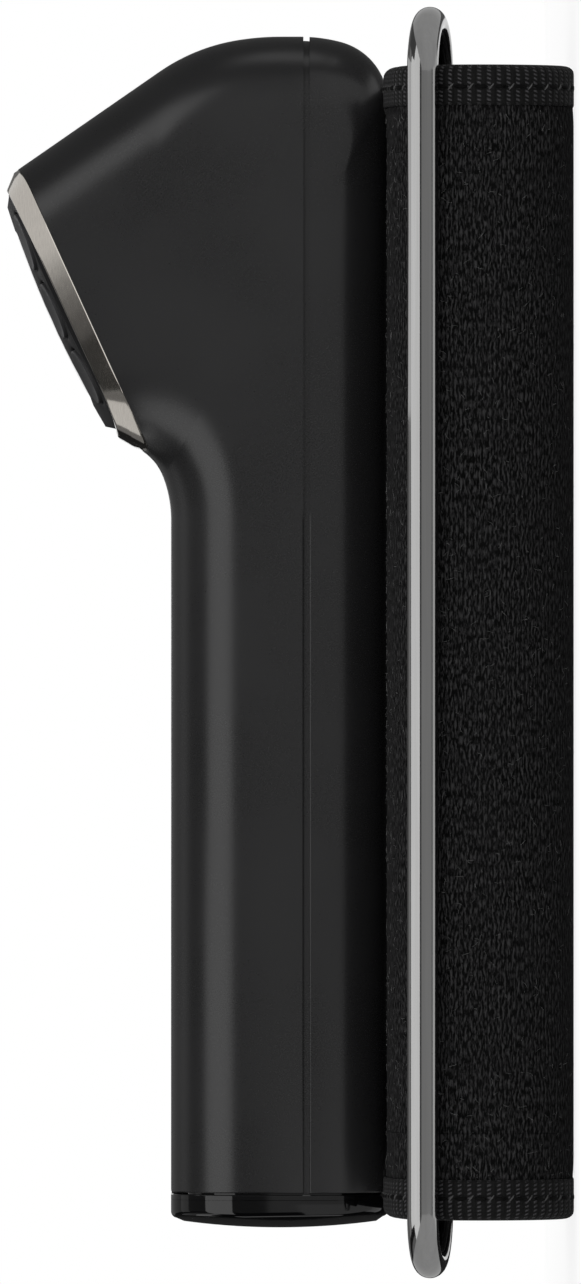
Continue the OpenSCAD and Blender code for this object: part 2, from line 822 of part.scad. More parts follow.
// A prism of the handle's outline from y0 up to y1
module handle_prism(inset, y0, y1) {
    translate([0, y1, 0]) rotate([90, 0, 0]) linear_extrude(y1 - y0) polygon(handle_loop(inset));
}
pad_less = 1;
pad_w = 2 * cell_pitch - pad_less;
contact_y = cell_y - contact_t - fit;
module battery_cap() {
    color("#161618") {
        difference() {
            union() {
                intersection() {
                    handle_prism(0, cap_y - cap_h - over, cap_y);
                    cap_crown();
                }
                handle_prism(skirt_inset, cap_y - over, cap_y + skirt_len);
            }
            handle_prism(skirt_inset + skirt_t, cap_y - cap_floor, cap_y + far);
        }
        translate([-pad_w / 2, cap_y - cap_floor, cage_mid - pad_w / 2])
            cube([pad_w, contact_y - cap_y + cap_floor, pad_w]);
    }
}
module cap_contacts() {
    bridge = cell_pitch + 2 * contact_more;
    color("#c3b27a") for (x = [-0.5, 0.5])
        translate([x * cell_pitch - contact_w / 2, contact_y, cage_mid - bridge / 2])
            cube([contact_w, contact_t, bridge]);
}

// Fixing of the housing to the cuff
plate_w = 32;
plate_len = 116;
plate_corner_r = 8;
plate_gap = 0.05;
plate_screw_r = 1.2;
plate_head_r = 2.4;
plate_head_h = 0.8;
plate_boss_r = 2.6;
plate_boss_h = 1.3;
plate_screw_in = 4;
throat_screw_down = 12;
valve_clear = 0.4;
module plate_screw_places() {
    edge = plate_w / 2 - plate_screw_in;
    past_valve = valve_y + valve_len + plate_boss_r + valve_clear;
    for (x = [-edge, edge], y = [throat_y - throat_screw_down, past_valve])
        translate([x, y, 0]) children();
}
clamp_gap = 0.15;
clamp_low = bladder_top + clamp_gap;
clamp_t = 1.3;
clamp_less = 4;
clamp_len = plate_len - clamp_less;
clamp_corner_r = 6;
recess_more = 0.1;
module mount_plate() {
    color("#242426") translate([0, 0, pad_top + plate_gap]) difference() {
        round_plate(plate_w, plate_len, body_back - pad_top - 2 * plate_gap, plate_corner_r);
        plate_screw_places() translate([0, 0, -over]) cylinder(r = plate_screw_r + fit, h = far);
        translate([0, nozzle_y, -over]) cylinder(r = nozzle_r + fit, h = far);
    }
}
module clamp_plate() {
    color("#54565a") translate([0, 0, clamp_low]) difference() {
        round_plate(plate_w, clamp_len, clamp_t, clamp_corner_r);
        plate_screw_places() translate([0, 0, -over]) {
            cylinder(r = plate_screw_r + fit, h = far);
            cylinder(r = plate_head_r + slide_fit, h = over + plate_head_h + recess_more);
        }
        translate([0, nozzle_y, -over]) {
            cylinder(r = nozzle_r + fit, h = far);
            cylinder(r = nozzle_foot_r + slide_fit, h = over + nozzle_foot_h + recess_more);
        }
    }
}
module plate_screws() {
    color("#8d9096") plate_screw_places() translate([0, 0, clamp_low]) {
        cylinder(r = plate_head_r, h = plate_head_h);
        cylinder(r = plate_screw_r, h = floor_z + plate_boss_h - clamp_low);
    }
}

// Cuff: one strap folded in layers, drawn as a section in x and z
function mid(a, b) = (a + b) / 2;
sleeve_lap = 1.5;
module turn(x, side, outer, inner) {
    difference() {
        translate([x, mid(outer[0], outer[1])]) intersection() {
            circle(d = outer[1] - outer[0], $fn = 128);
            translate([side > 0 ? 0 : -far, -far]) square([far, 2 * far]);
        }
        translate([x, mid(inner[0], inner[1])]) circle(d = inner[1] - inner[0], $fn = 128);
    }
}
module layer(x0, x1, low, high) {
    translate([x0, low]) square([x1 - x0, high - low]);
}
// The whole strap, thinner by skin_cut on each side
module strap_section(c) {
    layer(-fold_reach, turn_x, lay_low + c, lay_low + strap_t - c);
    turn(-fold_reach, -1, [lay_low + c, lay_back + strap_t - c], [lay_low + strap_t - c, lay_back + c]);
    layer(-fold_reach, inner_turn_x, lay_back + c, lay_back + strap_t - c);
    turn(inner_turn_x, 1, [lay_back + c, pad_low + pad_t - c], [lay_back + strap_t - c, pad_low + c]);
    layer(-fold_reach, inner_turn_x, pad_low + c, pad_low + pad_t - c);
    turn(-fold_reach, -1, [pad_low + c, pad_top - c], [pad_low + pad_t - c, pad_high + c]);
    layer(-fold_reach, hinge_x - sleeve_lap, pad_high + c, pad_top - c);
    turn(turn_x, 1, [lay_low + c, tail_top - c], [lay_low + strap_t - c, tail_low + c]);
    layer(tail_end_x, turn_x, tail_low + c, tail_top - c);
}
bladder_end = 13;
bladder_len = cuff_w - 2 * bladder_end;
bladder_side = 6;
bladder_room = 0.1;
plate_room = 0.3;
// The bladder, larger by g all round, folded round the pad's turn
module bladder_section(g) {
    high = [bladder_low - g, bladder_top + g];
    low = [bladder_under - g, bladder_under + bladder_t + g];
    layer(-fold_reach, turn_x - bladder_side + g, high[0], high[1]);
    turn(-fold_reach, -1, [low[0], high[1]], [low[1], high[0]]);
    layer(-fold_reach, turn_x - bladder_side + g, low[0], low[1]);
}
tape_gap = 0.05;
edge_in = 0.6;
core_w = cuff_w - 2 * tape_w;
edge_w = cuff_w - 2 * edge_in;
module cuff_wrap() {
    color("#161618") difference() {
        union() {
            along_y(core_w) strap_section(0);
            for (y = [-1, 1]) translate([0, y * (core_w + edge_w) / 4, 0])
                along_y((edge_w - core_w) / 2) strap_section(tape_t + tape_gap);
            along_y(cuff_w) translate([hinge_x, hinge_z]) circle(sleeve_r);
        }
        along_y(cuff_w + 2 * over) translate([hinge_x, hinge_z]) circle(sleeve_bore_r);
        along_y(bladder_len + 4 * bladder_room) bladder_section(bladder_room);
        translate([0, 0, bladder_top]) round_plate(
            plate_w + 2 * plate_room, clamp_len + 2 * plate_room,
            clamp_gap + clamp_t + clamp_gap, clamp_corner_r
        );
        translate([0, 0, clamp_low]) {
            plate_screw_places() cylinder(r = plate_screw_r + fit, h = far);
            translate([0, nozzle_y, 0]) cylinder(r = nozzle_r + fit, h = far);
        }
    }
}
module air_bladder() {
    color("#6b6f76") along_y(bladder_len) bladder_section(0);
}
// Tape folded over one edge of the strap
module binding(side) {
    color("#101012") difference() {
        translate([0, side * (cuff_w - tape_w) / 2, 0]) along_y(tape_w) strap_section(0);
        translate([0, side * (edge_w + 2 * tape_gap - far) / 2, 0]) along_y(far) strap_section(tape_t);
        along_y(cuff_w + 2 * over) translate([hinge_x, hinge_z]) circle(sleeve_r + tape_gap);
    }
}
module binding_head_end() {
    binding(1);
}
module binding_cap_end() {
    binding(-1);
}
hook_w = 12;
hook_in = 2;
module hook_patch() {
    hook_len = core_w - 2 * hook_in;
    color("#2c2c2e") translate([tail_end_x + hook_in, -hook_len / 2, pad_top + fit / 2])
        cube([hook_w, hook_len, tail_gap - fit]);
}

// Ring: a rod bent to a long loop, hinged in the cuff's sleeve
bar_lift = 2;
ring_rest = asin(bar_lift / bar_pitch);
bar_len = ring_len - rod_d - bar_pitch;
module cuff_ring() {
    color("#b9babd") translate([hinge_x, 0, hinge_z]) rotate([0, -ring_rest, 0]) {
        for (x = [0, bar_pitch]) translate([x, bar_len / 2, 0]) rotate([90, 0, 0])
            cylinder(r = rod_r, h = bar_len);
        for (side = [1, -1]) translate([bar_pitch / 2, side * bar_len / 2, 0])
            rotate([0, 0, side > 0 ? 0 : 180]) rotate_extrude(angle = 180, $fn = 128)
                translate([bar_pitch / 2, 0]) circle(rod_r);
    }
}

front_shell();
rear_shell();
bezel();
fascia();
display_window();
lcd_panel();
light_guide();
button_top();
button_middle();
button_bottom();
main_board();
key_switches();
board_chips();
pressure_sensor();
board_screws();
pump_motor();
pump_head();
pump_band();
release_valve();
air_manifold();
air_hoses();
cuff_nozzle();
battery_cage();
battery_cells();
cell_springs();
battery_cap();
cap_contacts();
shell_screws();
mount_plate();
clamp_plate();
plate_screws();
cuff_wrap();
air_bladder();
binding_head_end();
binding_cap_end();
hook_patch();
cuff_ring();
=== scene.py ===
"""Looks of the folded arm monitor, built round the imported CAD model.
Lengths are in millimetres until a mesh is made."""

import math
import random

import bmesh
import bpy
from mathutils import Matrix, Vector, noise
from mathutils.geometry import delaunay_2d_cdt


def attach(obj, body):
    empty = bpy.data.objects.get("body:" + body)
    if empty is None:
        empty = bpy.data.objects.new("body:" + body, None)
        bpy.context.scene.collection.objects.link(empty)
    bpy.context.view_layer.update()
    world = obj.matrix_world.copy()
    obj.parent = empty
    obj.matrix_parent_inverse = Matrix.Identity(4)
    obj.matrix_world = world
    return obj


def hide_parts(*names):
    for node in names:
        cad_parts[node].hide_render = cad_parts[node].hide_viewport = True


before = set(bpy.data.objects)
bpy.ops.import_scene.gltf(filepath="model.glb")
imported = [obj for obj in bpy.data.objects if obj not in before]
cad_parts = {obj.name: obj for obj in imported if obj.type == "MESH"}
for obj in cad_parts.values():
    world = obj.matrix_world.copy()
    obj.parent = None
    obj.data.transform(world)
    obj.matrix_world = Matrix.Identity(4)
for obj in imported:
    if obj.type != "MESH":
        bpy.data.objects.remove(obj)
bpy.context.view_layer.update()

MM, MICRON = 0.001, 0.000001


def sin(a):
    return math.sin(math.radians(a))


def cos(a):
    return math.cos(math.radians(a))


def turns(n):
    """The angles of n equal steps round a circle"""
    return [360 * k / n for k in range(n)]


def part_way(a, b, f):
    """The point at a share of the way from one point to another"""
    return tuple(p * (1 - f) + q * f for p, q in zip(a, b))


# The CAD's sizes
BODY_W, HANDLE_DEPTH, HANDLE_LEN, WALL = 48, 28.2, 87.3, 2
FRONT_R, BACK_R = 9.5, 6.5
SPLIT_RISE, GROOVE_W, GROOVE_DEPTH = 10.6, 0.8, 0.55
FACE_TILT, FACE_LEN, HEAD_SLOPE = 23.8, 39.2, 34.7
THROAT_SOFT_R, THROAT_SOFT_TURN, THROAT_R, THROAT_TURN = 15.8, 20, 7.8, 40
CROWN = [(8.3, 75, 10), (20.2, 15, 2), (2.6, 0, 1), (34.2, 10, 2), (24.7, HEAD_SLOPE - 10, 4)]
RING_LEN, RING_ROOM, ROD_D, BAR_PITCH = 163.2, 3.5, 4, 13
CUFF_W = RING_LEN - 2 * (ROD_D + RING_ROOM)
STRAP_T, PAD_T, STRAP_GAP, NAP_GAP, PAD_GAP, TAIL_GAP = 2.8, 5, 2, 2, 0.6, 0.6
TAPE_W, TAPE_T = 5.2, 0.4
FOLD_REACH = 50
SEAM_Y = 2.7 - CUFF_W / 2
LAY_BACK = STRAP_T + STRAP_GAP
PAD_LOW = LAY_BACK + STRAP_T + NAP_GAP
PAD_HIGH = PAD_LOW + PAD_T + PAD_GAP
PAD_TOP = PAD_HIGH + PAD_T
TAIL_LOW = PAD_TOP + TAIL_GAP
TAIL_TOP = TAIL_LOW + STRAP_T
BODY_BACK = TAIL_TOP + 0.25
BODY_FRONT = BODY_BACK + HANDLE_DEPTH
THROAT_Y = SEAM_Y + HANDLE_LEN
SPLIT_Z = BODY_BACK + SPLIT_RISE


# Meshes

# The cloth's height above the table, in millimetres, below which its own weight presses it thinner
PRESSED = 0.3


def finish_mesh(bm, name, slot, replaces=(), sharp=38, look=None, body="monitor"):
    """The bmesh, which is in millimetres, as a piece that rides on a CAD body"""
    bmesh.ops.recalc_face_normals(bm, faces=bm.faces[:])
    for v in bm.verts:
        if v.co.z < PRESSED:
            v.co.z = PRESSED * math.exp(v.co.z / PRESSED - 1)
    bmesh.ops.scale(bm, vec=(MM, MM, MM), verts=bm.verts[:])
    mesh = bpy.data.meshes.new(name)
    bm.to_mesh(mesh)
    bm.free()
    mesh.polygons.foreach_set("use_smooth", [True] * len(mesh.polygons))
    mesh.set_sharp_from_angle(angle=math.radians(sharp))
    mesh.materials.append(LOOKS[look or slot])
    piece = bpy.data.objects.new(name, mesh)
    bpy.context.scene.collection.objects.link(piece)
    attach(piece, body)
    if replaces:
        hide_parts(*replaces)
    return piece


def tube_quads(rows):
    """Quads between each ring of vertices and the next"""
    for a, b in zip(rows, rows[1:]):
        for j in range(len(a)):
            k = (j + 1) % len(a)
            yield a[j], a[k], b[k], b[j]


def add_skin(bm, rings, closed=False):
    """Quads through rings of points, closed on itself or capped at both ends"""
    rows = [[bm.verts.new(p) for p in ring] for ring in rings]
    for quad in tube_quads(rows + rows[:1] if closed else rows):
        bm.faces.new(quad)
    if not closed:
        bm.faces.new(rows[0])
        bm.faces.new(rows[-1])
    return rows


def two_sided(sides, n, m):
    """Quads over both sides of a flat sheet, n by m vertices, and round its edges"""
    for i in range(n - 1):
        for j in range(m - 1):
            for side in (1, -1):
                yield [sides[side, p, q] for p, q in ((i, j), (i + 1, j), (i + 1, j + 1), (i, j + 1))]
    for i in (0, n - 1):
        for j in range(m - 1):
            yield sides[1, i, j], sides[1, i, j + 1], sides[-1, i, j + 1], sides[-1, i, j]
    for j in (0, m - 1):
        for i in range(n - 1):
            yield sides[1, i, j], sides[1, i + 1, j], sides[-1, i + 1, j], sides[-1, i, j]


def lay_uv(bm, uv, place):
    """UVs from a table of the vertices"""
    for face in bm.faces:
        for loop in face.loops:
            loop[uv].uv = place[loop.vert]


def rounded(profile, radii, steps=4):
    """A closed 2D profile with its corners rounded"""
    out = []
    n = len(profile)
    for i, r in enumerate(radii):
        p = Vector(profile[i])
        a = Vector(profile[i - 1]) - p
        b = Vector(profile[(i + 1) % n]) - p
        if r <= 0:
            out.append(tuple(p))
            continue
        half = a.angle(b) / 2
        cut = r / math.tan(half)
        a.normalize()
        b.normalize()
        centre = p + (a + b).normalized() * (r / math.sin(half))
        start, end = p + a * cut - centre, p + b * cut - centre
        turn = start.angle_signed(end)
        for k in range(steps + 1):
            q = start.copy()
            q.rotate(Matrix.Rotation(-turn * k / steps, 2))
            out.append(tuple(centre + q))
    return out


def lathe(bm, profile, place, segments=96):
    """A turned solid: the profile is a list of (radius, height) that starts and ends on the axis"""
    rows = []
    for r, z in profile:
        spots = [(r * cos(a), r * sin(a), z) for a in turns(segments if r > 0 else 1)]
        rows.append([bm.verts.new(place(spot)) for spot in spots])
    for a, b in zip(rows, rows[1:]):
        for k in range(segments):
            n = (k + 1) % segments
            if len(a) == 1:
                bm.faces.new((a[0], b[k], b[n]))
            elif len(b) == 1:
                bm.faces.new((a[k], a[n], b[0]))
            else:
                bm.faces.new((a[k], a[n], b[n], b[k]))


# The housing's outline, as in the CAD


def run_on(p, length):
    return (p[0] + length * cos(p[2]), p[1] + length * sin(p[2]), p[2])


def turn_on(p, r, turn):
    return (
        p[0] + r * (sin(p[2] + turn) - sin(p[2])),
        p[1] - r * (cos(p[2] + turn) - cos(p[2])),
        p[2] + turn,
    )


def advance(p, piece, s):
    return run_on(p, piece[0] * s) if piece[1] == 0 else turn_on(p, piece[0], piece[1] * s)


def front_at(share):
    """A point of the throat, from a share of the throat's length"""
    start = (THROAT_Y, BODY_FRONT, 0)
    soft = THROAT_SOFT_R * THROAT_SOFT_TURN
    run = share * (soft + THROAT_R * THROAT_TURN)
    if run <= soft:
        return turn_on(start, THROAT_SOFT_R, run / THROAT_SOFT_R)
    return turn_on(turn_on(start, THROAT_SOFT_R, THROAT_SOFT_TURN), THROAT_R, (run - soft) / THROAT_R)


face_low = front_at(1)
face_high = (
    face_low[0] + FACE_LEN * cos(FACE_TILT),
    face_low[1] + FACE_LEN * sin(FACE_TILT),
    90 + HEAD_SLOPE,
)
face_mid = ((face_low[0] + face_high[0]) / 2, (face_low[1] + face_high[1]) / 2)
span = (0, BODY_BACK, 0)
for piece in CROWN:
    span = advance(span, piece, 1)
slope_len = (face_high[1] - span[1]) / cos(HEAD_SLOPE)
crown_y = face_high[0] + slope_len * sin(HEAD_SLOPE) - span[0]
BACK = [(crown_y - THROAT_Y, 0, 6)] + CROWN + [(slope_len, 0, 5)]
BACK_STEPS = sum(piece[2] for piece in BACK)


def back_at(u):
    p = (THROAT_Y, BODY_BACK, 0)
    for piece in BACK:
        if u <= piece[2]:
            return advance(p, piece, u / piece[2])
        p = advance(p, piece, 1)
        u -= piece[2]
    return face_high


def back_run(u):
    """The back outline's length as far as a step"""
    run = 0.0
    for size, turn, steps in BACK:
        run += (size if turn == 0 else size * math.radians(turn)) * min(1, u / steps)
        u = max(0, u - steps)
    return run


CORNER = 14


def section(half, front_r, front_e, back_r, back_e, length):
    """A rounded rectangle whose corners are ellipses, r across and e along"""
    out = []
    for q in range(4):
        for k in range(CORNER + 1):
            a = 90 * (q + k / CORNER)
            r, e = (front_r, front_e) if q < 2 else (back_r, back_e)
            side = 1 if q in (0, 3) else -1
            u = front_e if q < 2 else length - back_e
            out.append((side * (half - r) + r * cos(a), u - e * sin(a)))
    return out


def no_less(a, least, soft=0.15):
    """The larger of two numbers, with an eased change from one to the other"""
    h = max(soft - abs(a - least), 0) / soft
    return max(a, least) + h * h * soft / 4


def cut(f, b, inset):
    """The section between two outline points, set in by a depth: points (x, u) and the direction of u"""
    dy, dz = b[0] - f[0], b[1] - f[1]
    length = math.hypot(dy, dz)
    angle = math.degrees(math.atan2(dz, dy))
    lf = no_less(sin(f[2] - angle), 0.73)
    lb = no_less(sin(b[2] - angle), 0.5)
    share = min(1, b[2] / 90)
    u0 = inset / lf
    fr = FRONT_R - inset
    br = BACK_R + (FRONT_R - BACK_R) * share * share * (3 - 2 * share) - inset
    loop = section(BODY_W / 2 - inset, fr, fr / lf, br, br / lb, length - inset / lb - u0)
    return [(x, u0 + u) for x, u in loop], (dy / length, dz / length)


def ring_at(f, b, inset):
    loop, d = cut(f, b, inset)
    return [(x, f[0] + u * d[0], f[1] + u * d[1]) for x, u in loop]


HANDLE_END = ((SEAM_Y, BODY_FRONT, 0), (SEAM_Y, BODY_BACK, 0))


def station(u, inset):
    if u == 0:
        return ring_at(*HANDLE_END, inset)
    return ring_at(front_at(back_run(u - 1) / back_run(BACK_STEPS)), back_at(u - 1), inset)


FINE = 3
STATIONS = [0] + [1 + k / FINE for k in range(BACK_STEPS * FINE + 1)]


def face_loop(inset):
    return [(x, u - FACE_LEN / 2) for x, u in cut(face_low, face_high, inset)[0]]


def handle_loop(inset):
    return [(x, BODY_FRONT - u) for x, u in cut(*HANDLE_END, inset)[0]]


def on_face(p):
    """A point of the face's own frame, x across, y up the face and z out of it, in the row's frame"""
    x, y, z = p
    return (
        x,
        face_mid[0] + y * cos(FACE_TILT) - z * sin(FACE_TILT),
        face_mid[1] + y * sin(FACE_TILT) + z * cos(FACE_TILT),
    )


def from_face(p):
    """A point of the row's frame in the face's own frame"""
    y, z = p[1] - face_mid[0], p[2] - face_mid[1]
    return (p[0], y * cos(FACE_TILT) + z * sin(FACE_TILT), z * cos(FACE_TILT) - y * sin(FACE_TILT))


# Half the straight part of the face's ends, and the width of the change to its sides, which grows up the face
ENDS_HALF, CHANGE_W, CHANGE_GROWTH = 13.5, 7, 0.08


def sideways(x, y):
    """0 along the face's straight ends and 1 along its sides"""
    t = min(max((abs(x) - ENDS_HALF) / (CHANGE_W + CHANGE_GROWTH * y), 0), 1)
    return t * t * (3 - 2 * t)


RIM_DROP_ENDS, RIM_DROP_SIDES, RIM_DROP_LEAN, RIM_ROWS = 0.36, 1.1, 0.013, 27


def to_rim(inset, lift=0.0):
    """The last stations, drawn back along the housing's own lines until they end under the bezel"""
    lines = []
    for line in zip(*[station(u, inset) for u in STATIONS[-RIM_ROWS:]]):
        heights = [from_face(p)[2] for p in line]
        x, y, _ = from_face(line[-1])
        more = RIM_DROP_SIDES - RIM_DROP_LEAN * y - RIM_DROP_ENDS
        end = lift - RIM_DROP_ENDS - more * sideways(x, y)
        k = RIM_ROWS - 2
        while k > 0 and heights[k] > end:
            k -= 1
        stop = k + (end - heights[k]) / (heights[k + 1] - heights[k])
        points = []
        for j in range(RIM_ROWS):
            run = stop * j / (RIM_ROWS - 1)
            k = min(int(run), RIM_ROWS - 2)
            points.append(part_way(line[k], line[k + 1], run - k))
        lines.append(points)
    return [list(row) for row in zip(*lines)]


def shell(out_depth, in_depth, low=None, high=None, edge=0.22):
    """A closed wall through the stations, cut to a range of heights, with its outer edges eased"""
    bm = bmesh.new()
    outer = [station(u, out_depth) for u in STATIONS[:-RIM_ROWS]] + to_rim(out_depth)
    inner = [station(u, in_depth) for u in reversed(STATIONS)]
    mark = bm.verts.layers.float.new("outer")
    rows = add_skin(bm, outer + inner, closed=True)
    for row in rows[: len(outer)]:
        for v in row:
            v[mark] = 1
    for z, above in ((low, True), (high, False)):
        if z is None:
            continue
        geom = bm.verts[:] + bm.edges[:] + bm.faces[:]
        plane = {"plane_co": (0, 0, z), "plane_no": (0, 0, 1), "dist": 1e-5}
        bmesh.ops.bisect_plane(bm, geom=geom, **plane, clear_inner=above, clear_outer=not above)
        weld_slivers(bm)
        close_loop(bm)
    if edge:
        edges = []
        for e in bm.edges:
            a, b = e.verts
            if a[mark] < 0.999 or b[mark] < 0.999:
                continue
            ends = [all(abs(v.co.y - SEAM_Y) < 1e-3 for v in e.verts)]
            ends += [all(abs(v.co.z - z) < 1e-3 for v in e.verts) for z in (low, high) if z is not None]
            if any(ends) and e.calc_face_angle(0) > 0.6:
                edges.append(e)
        bmesh.ops.bevel(
            bm, geom=edges, offset=edge, segments=3, profile=0.5, affect="EDGES", clamp_overlap=True
        )
    return bm


def weld_slivers(bm, least=0.22):
    """Points that lie too close to a cut join it, and so do points too close together on it"""
    for _ in range(3):
        target = {}
        for v in bm.verts:
            if not v.is_boundary or v in target.values():
                continue
            for e in v.link_edges:
                other = e.other_vert(v)
                if e.calc_length() < least and other not in target and v not in target:
                    if other.is_boundary and other in target.values():
                        continue
                    target[other] = v
        if not target:
            return
        bmesh.ops.weld_verts(bm, targetmap=target)
        bmesh.ops.dissolve_degenerate(bm, dist=1e-4, edges=bm.edges[:])


def close_loop(bm):
    """Faces over every open loop of edges"""
    open_edges = {e for e in bm.edges if e.is_boundary}
    while open_edges:
        e = open_edges.pop()
        first, v = e.verts
        loop = [first, v]
        while v is not first:
            e = next(x for x in v.link_edges if x in open_edges)
            open_edges.discard(e)
            v = e.other_vert(v)
            if v is not first:
                loop.append(v)
        bm.faces.new(loop)


# Plates with holes


def inside(p, loop):
    x, y = p
    hit = False
    for (ax, ay), (bx, by) in zip(loop, loop[1:] + loop[:1]):
        if (ay > y) != (by > y) and x < ax + (y - ay) * (bx - ax) / (by - ay):
            hit = not hit
    return hit


def near(p, loop, gap):
    return any((p[0] - q[0]) ** 2 + (p[1] - q[1]) ** 2 < gap * gap for q in loop)


def plate(loops, height, low, place, ease=0.2, spacing=1.2, steps=3):
    """A closed plate. loops[0](d) is its outline and the rest its holes, each moved d into the plate;
    height(x, y) is its top, and low its flat underside"""
    bm = bmesh.new()
    flat = [loop(ease) for loop in loops]
    points, edges = [], []
    for loop in flat:
        start = len(points)
        points += loop
        edges += [(start + i, start + (i + 1) % len(loop)) for i in range(len(loop))]

    def on_plate(p):
        return inside(p, flat[0]) and not any(inside(p, hole) for hole in flat[1:])

    xs, ys = zip(*flat[0])
    row = 0
    y = min(ys) + spacing / 2
    while y < max(ys):
        x = min(xs) + (spacing / 2 if row % 2 else 0)
        while x < max(xs):
            if on_plate((x, y)) and not any(near((x, y), loop, spacing * 0.55) for loop in flat):
                points.append((x, y))
            x += spacing
        y += spacing * 0.87
        row += 1
    out, _, faces, origin, _, _ = delaunay_2d_cdt([Vector(p) for p in points], edges, [], 0, 1e-6)
    found = {k: i for i, ids in enumerate(origin) for k in ids}
    top = [bm.verts.new(place((p.x, p.y, height(p.x, p.y)))) for p in out]
    base = [bm.verts.new(place((p.x, p.y, low))) for p in out]
    for f in faces:
        if on_plate(sum((out[i] for i in f), Vector((0, 0))) / len(f)):
            bm.faces.new([top[i] for i in f])
            bm.faces.new([base[i] for i in reversed(f)])
    start = 0
    for loop, ring in zip(loops, flat):
        ids = [found[start + i] for i in range(len(ring))]
        rows = [[top[i] for i in ids]]
        for k in range(1, steps + 1):
            moved = loop(ease * (1 - sin(90 * k / steps)))
            drop = ease * (1 - cos(90 * k / steps))
            rows.append([bm.verts.new(place((x, y, height(x, y) - drop))) for x, y in moved])
        rows.append([bm.verts.new(place((x, y, low + 0.1))) for x, y in loop(0)])
        rows.append([base[i] for i in ids])
        for quad in tube_quads(rows):
            bm.faces.new(quad)
        start += len(ring)
    bmesh.ops.delete(bm, geom=[v for v in bm.verts if not v.link_faces], context="VERTS")
    return bm


def round_rect(cx, cy, w, h, r, steps=8):
    """A rounded rectangle as loop(d), grown by d where d is into the plate that it is a hole of"""

    def loop(d):
        out = []
        for q, (sx, sy) in enumerate(((1, 1), (-1, 1), (-1, -1), (1, -1))):
            x, y = cx + sx * (w / 2 - r), cy + sy * (h / 2 - r)
            for k in range(steps + 1):
                a = 90 * (q + k / steps)
                out.append((x + (r + d) * cos(a), y + (r + d) * sin(a)))
        return out

    return loop


def circle(cx, cy, r, steps=64):
    """A round hole as loop(d)"""
    return lambda d: [(cx + (r + d) * cos(a), cy + (r + d) * sin(a)) for a in turns(steps)]


# Materials


class Nodes:
    """A node tree, written from its last node back"""

    def __init__(self, owner):
        owner.use_nodes = True
        self.tree = owner.node_tree

    def node(self, kind, values=(), **props):
        n = self.tree.nodes.new(kind)
        for k, v in props.items():
            setattr(n, k, v)
        for k, v in dict(values).items():
            self.put(n.inputs[k], v)
        return n

    def put(self, socket, value):
        if isinstance(value, bpy.types.NodeSocket):
            self.tree.links.new(value, socket)
        else:
            socket.default_value = value

    def math(self, op, a, b=0.0):
        return self.node("ShaderNodeMath", {0: a, 1: b}, operation=op).outputs[0]

    def plus(self, a, b):
        return self.math("ADD", a, b)

    def times(self, a, b):
        return self.math("MULTIPLY", a, b)

    def from_middle(self, cell):
        """How far a cell's own coordinate is from its middle"""
        return self.math("ABSOLUTE", self.math("SUBTRACT", cell, 0.5))

    def seen(self):
        """1 for camera, glossy and transmission rays, and 0 for the rest"""
        path = self.node("ShaderNodeLightPath").outputs
        rays = self.math("MAXIMUM", path["Is Camera Ray"], path["Is Glossy Ray"])
        return self.math("MAXIMUM", rays, path["Is Transmission Ray"])

    def coords(self, kind="Object"):
        return self.node("ShaderNodeTexCoord").outputs[kind]

    def noise(self, scale, vector=None, detail=3.0, rough=0.55):
        vector = self.coords() if vector is None else vector
        values = {"Vector": vector, "Scale": scale, "Detail": detail, "Roughness": rough}
        return self.node("ShaderNodeTexNoise", values).outputs["Fac"]

    def remap(self, value, low, high, to_low=0.0, to_high=1.0, smooth=False):
        names = ("Value", "From Min", "From Max", "To Min", "To Max")
        values = zip(names, (value, low, high, to_low, to_high))
        kind = "SMOOTHSTEP" if smooth else "LINEAR"
        return self.node("ShaderNodeMapRange", values, interpolation_type=kind).outputs["Result"]

    def mix(self, share, a, b):
        return self.node("ShaderNodeMix", {0: share, 6: a, 7: b}, data_type="RGBA").outputs[2]

    def bump(self, height, depth, strength):
        """A relief whose depth is in micrometres"""
        values = {"Height": height, "Distance": depth * MICRON, "Strength": strength}
        return self.node("ShaderNodeBump", values).outputs["Normal"]


LOOKS = {}


class Look(Nodes):
    """A material of a given name"""

    def __init__(self, name):
        LOOKS[name] = bpy.data.materials.new(name)
        super().__init__(LOOKS[name])
        self.shader = self.tree.nodes["Principled BSDF"]

    def set(self, **values):
        for k, v in values.items():
            self.put(self.shader.inputs[k.replace("_", " ")], v)

    def show(self, shader):
        """The surface is drawn by a node other than the first shader"""
        self.put(self.tree.nodes["Material Output"].inputs["Surface"], shader.outputs[0])


def rgb(r, g=None, b=None):
    return (r, r if g is None else g, r if b is None else b, 1)


def shade(c, k):
    return (*(min(part * k, 1) for part in c[:3]), 1)


def grainy(
    name, colour, rough, spread=0.08, vary=0.18, grain=2600, depth=20, strength=0.3, patches=60, **more
):
    """Moulded or cast material: patches of colour and polish over a fine grain"""
    look = Look(name)
    patch = look.noise(patches, detail=4)
    fine = look.noise(grain, detail=2)
    tone = look.mix(look.remap(patch, 0.35, 0.65), shade(colour, 1 - vary), shade(colour, 1 + vary))
    look.set(
        Base_Color=tone,
        Roughness=look.remap(look.plus(patch, fine), 0.7, 1.3, rough - spread, rough + spread),
        Normal=look.bump(fine, depth, strength),
        **more,
    )


def brushed(name, colour, rough, stretch, spread=0.06, scale=900, depth=6):
    """Metal with fine lines along one direction"""
    look = Look(name)
    lines = look.node("ShaderNodeMapping", {"Vector": look.coords(), "Scale": stretch}).outputs["Vector"]
    fine = look.noise(scale, lines, detail=4, rough=0.7)
    polish = look.plus(look.times(fine, 0.6), look.noise(45))
    tone = look.mix(look.remap(fine, 0.3, 0.7), shade(colour, 0.9), shade(colour, 1.08))
    look.set(
        Base_Color=tone,
        Metallic=1.0,
        Roughness=look.remap(polish, 0.5, 1.1, rough - spread, rough + spread),
        Normal=look.bump(fine, depth, 0.4),
    )


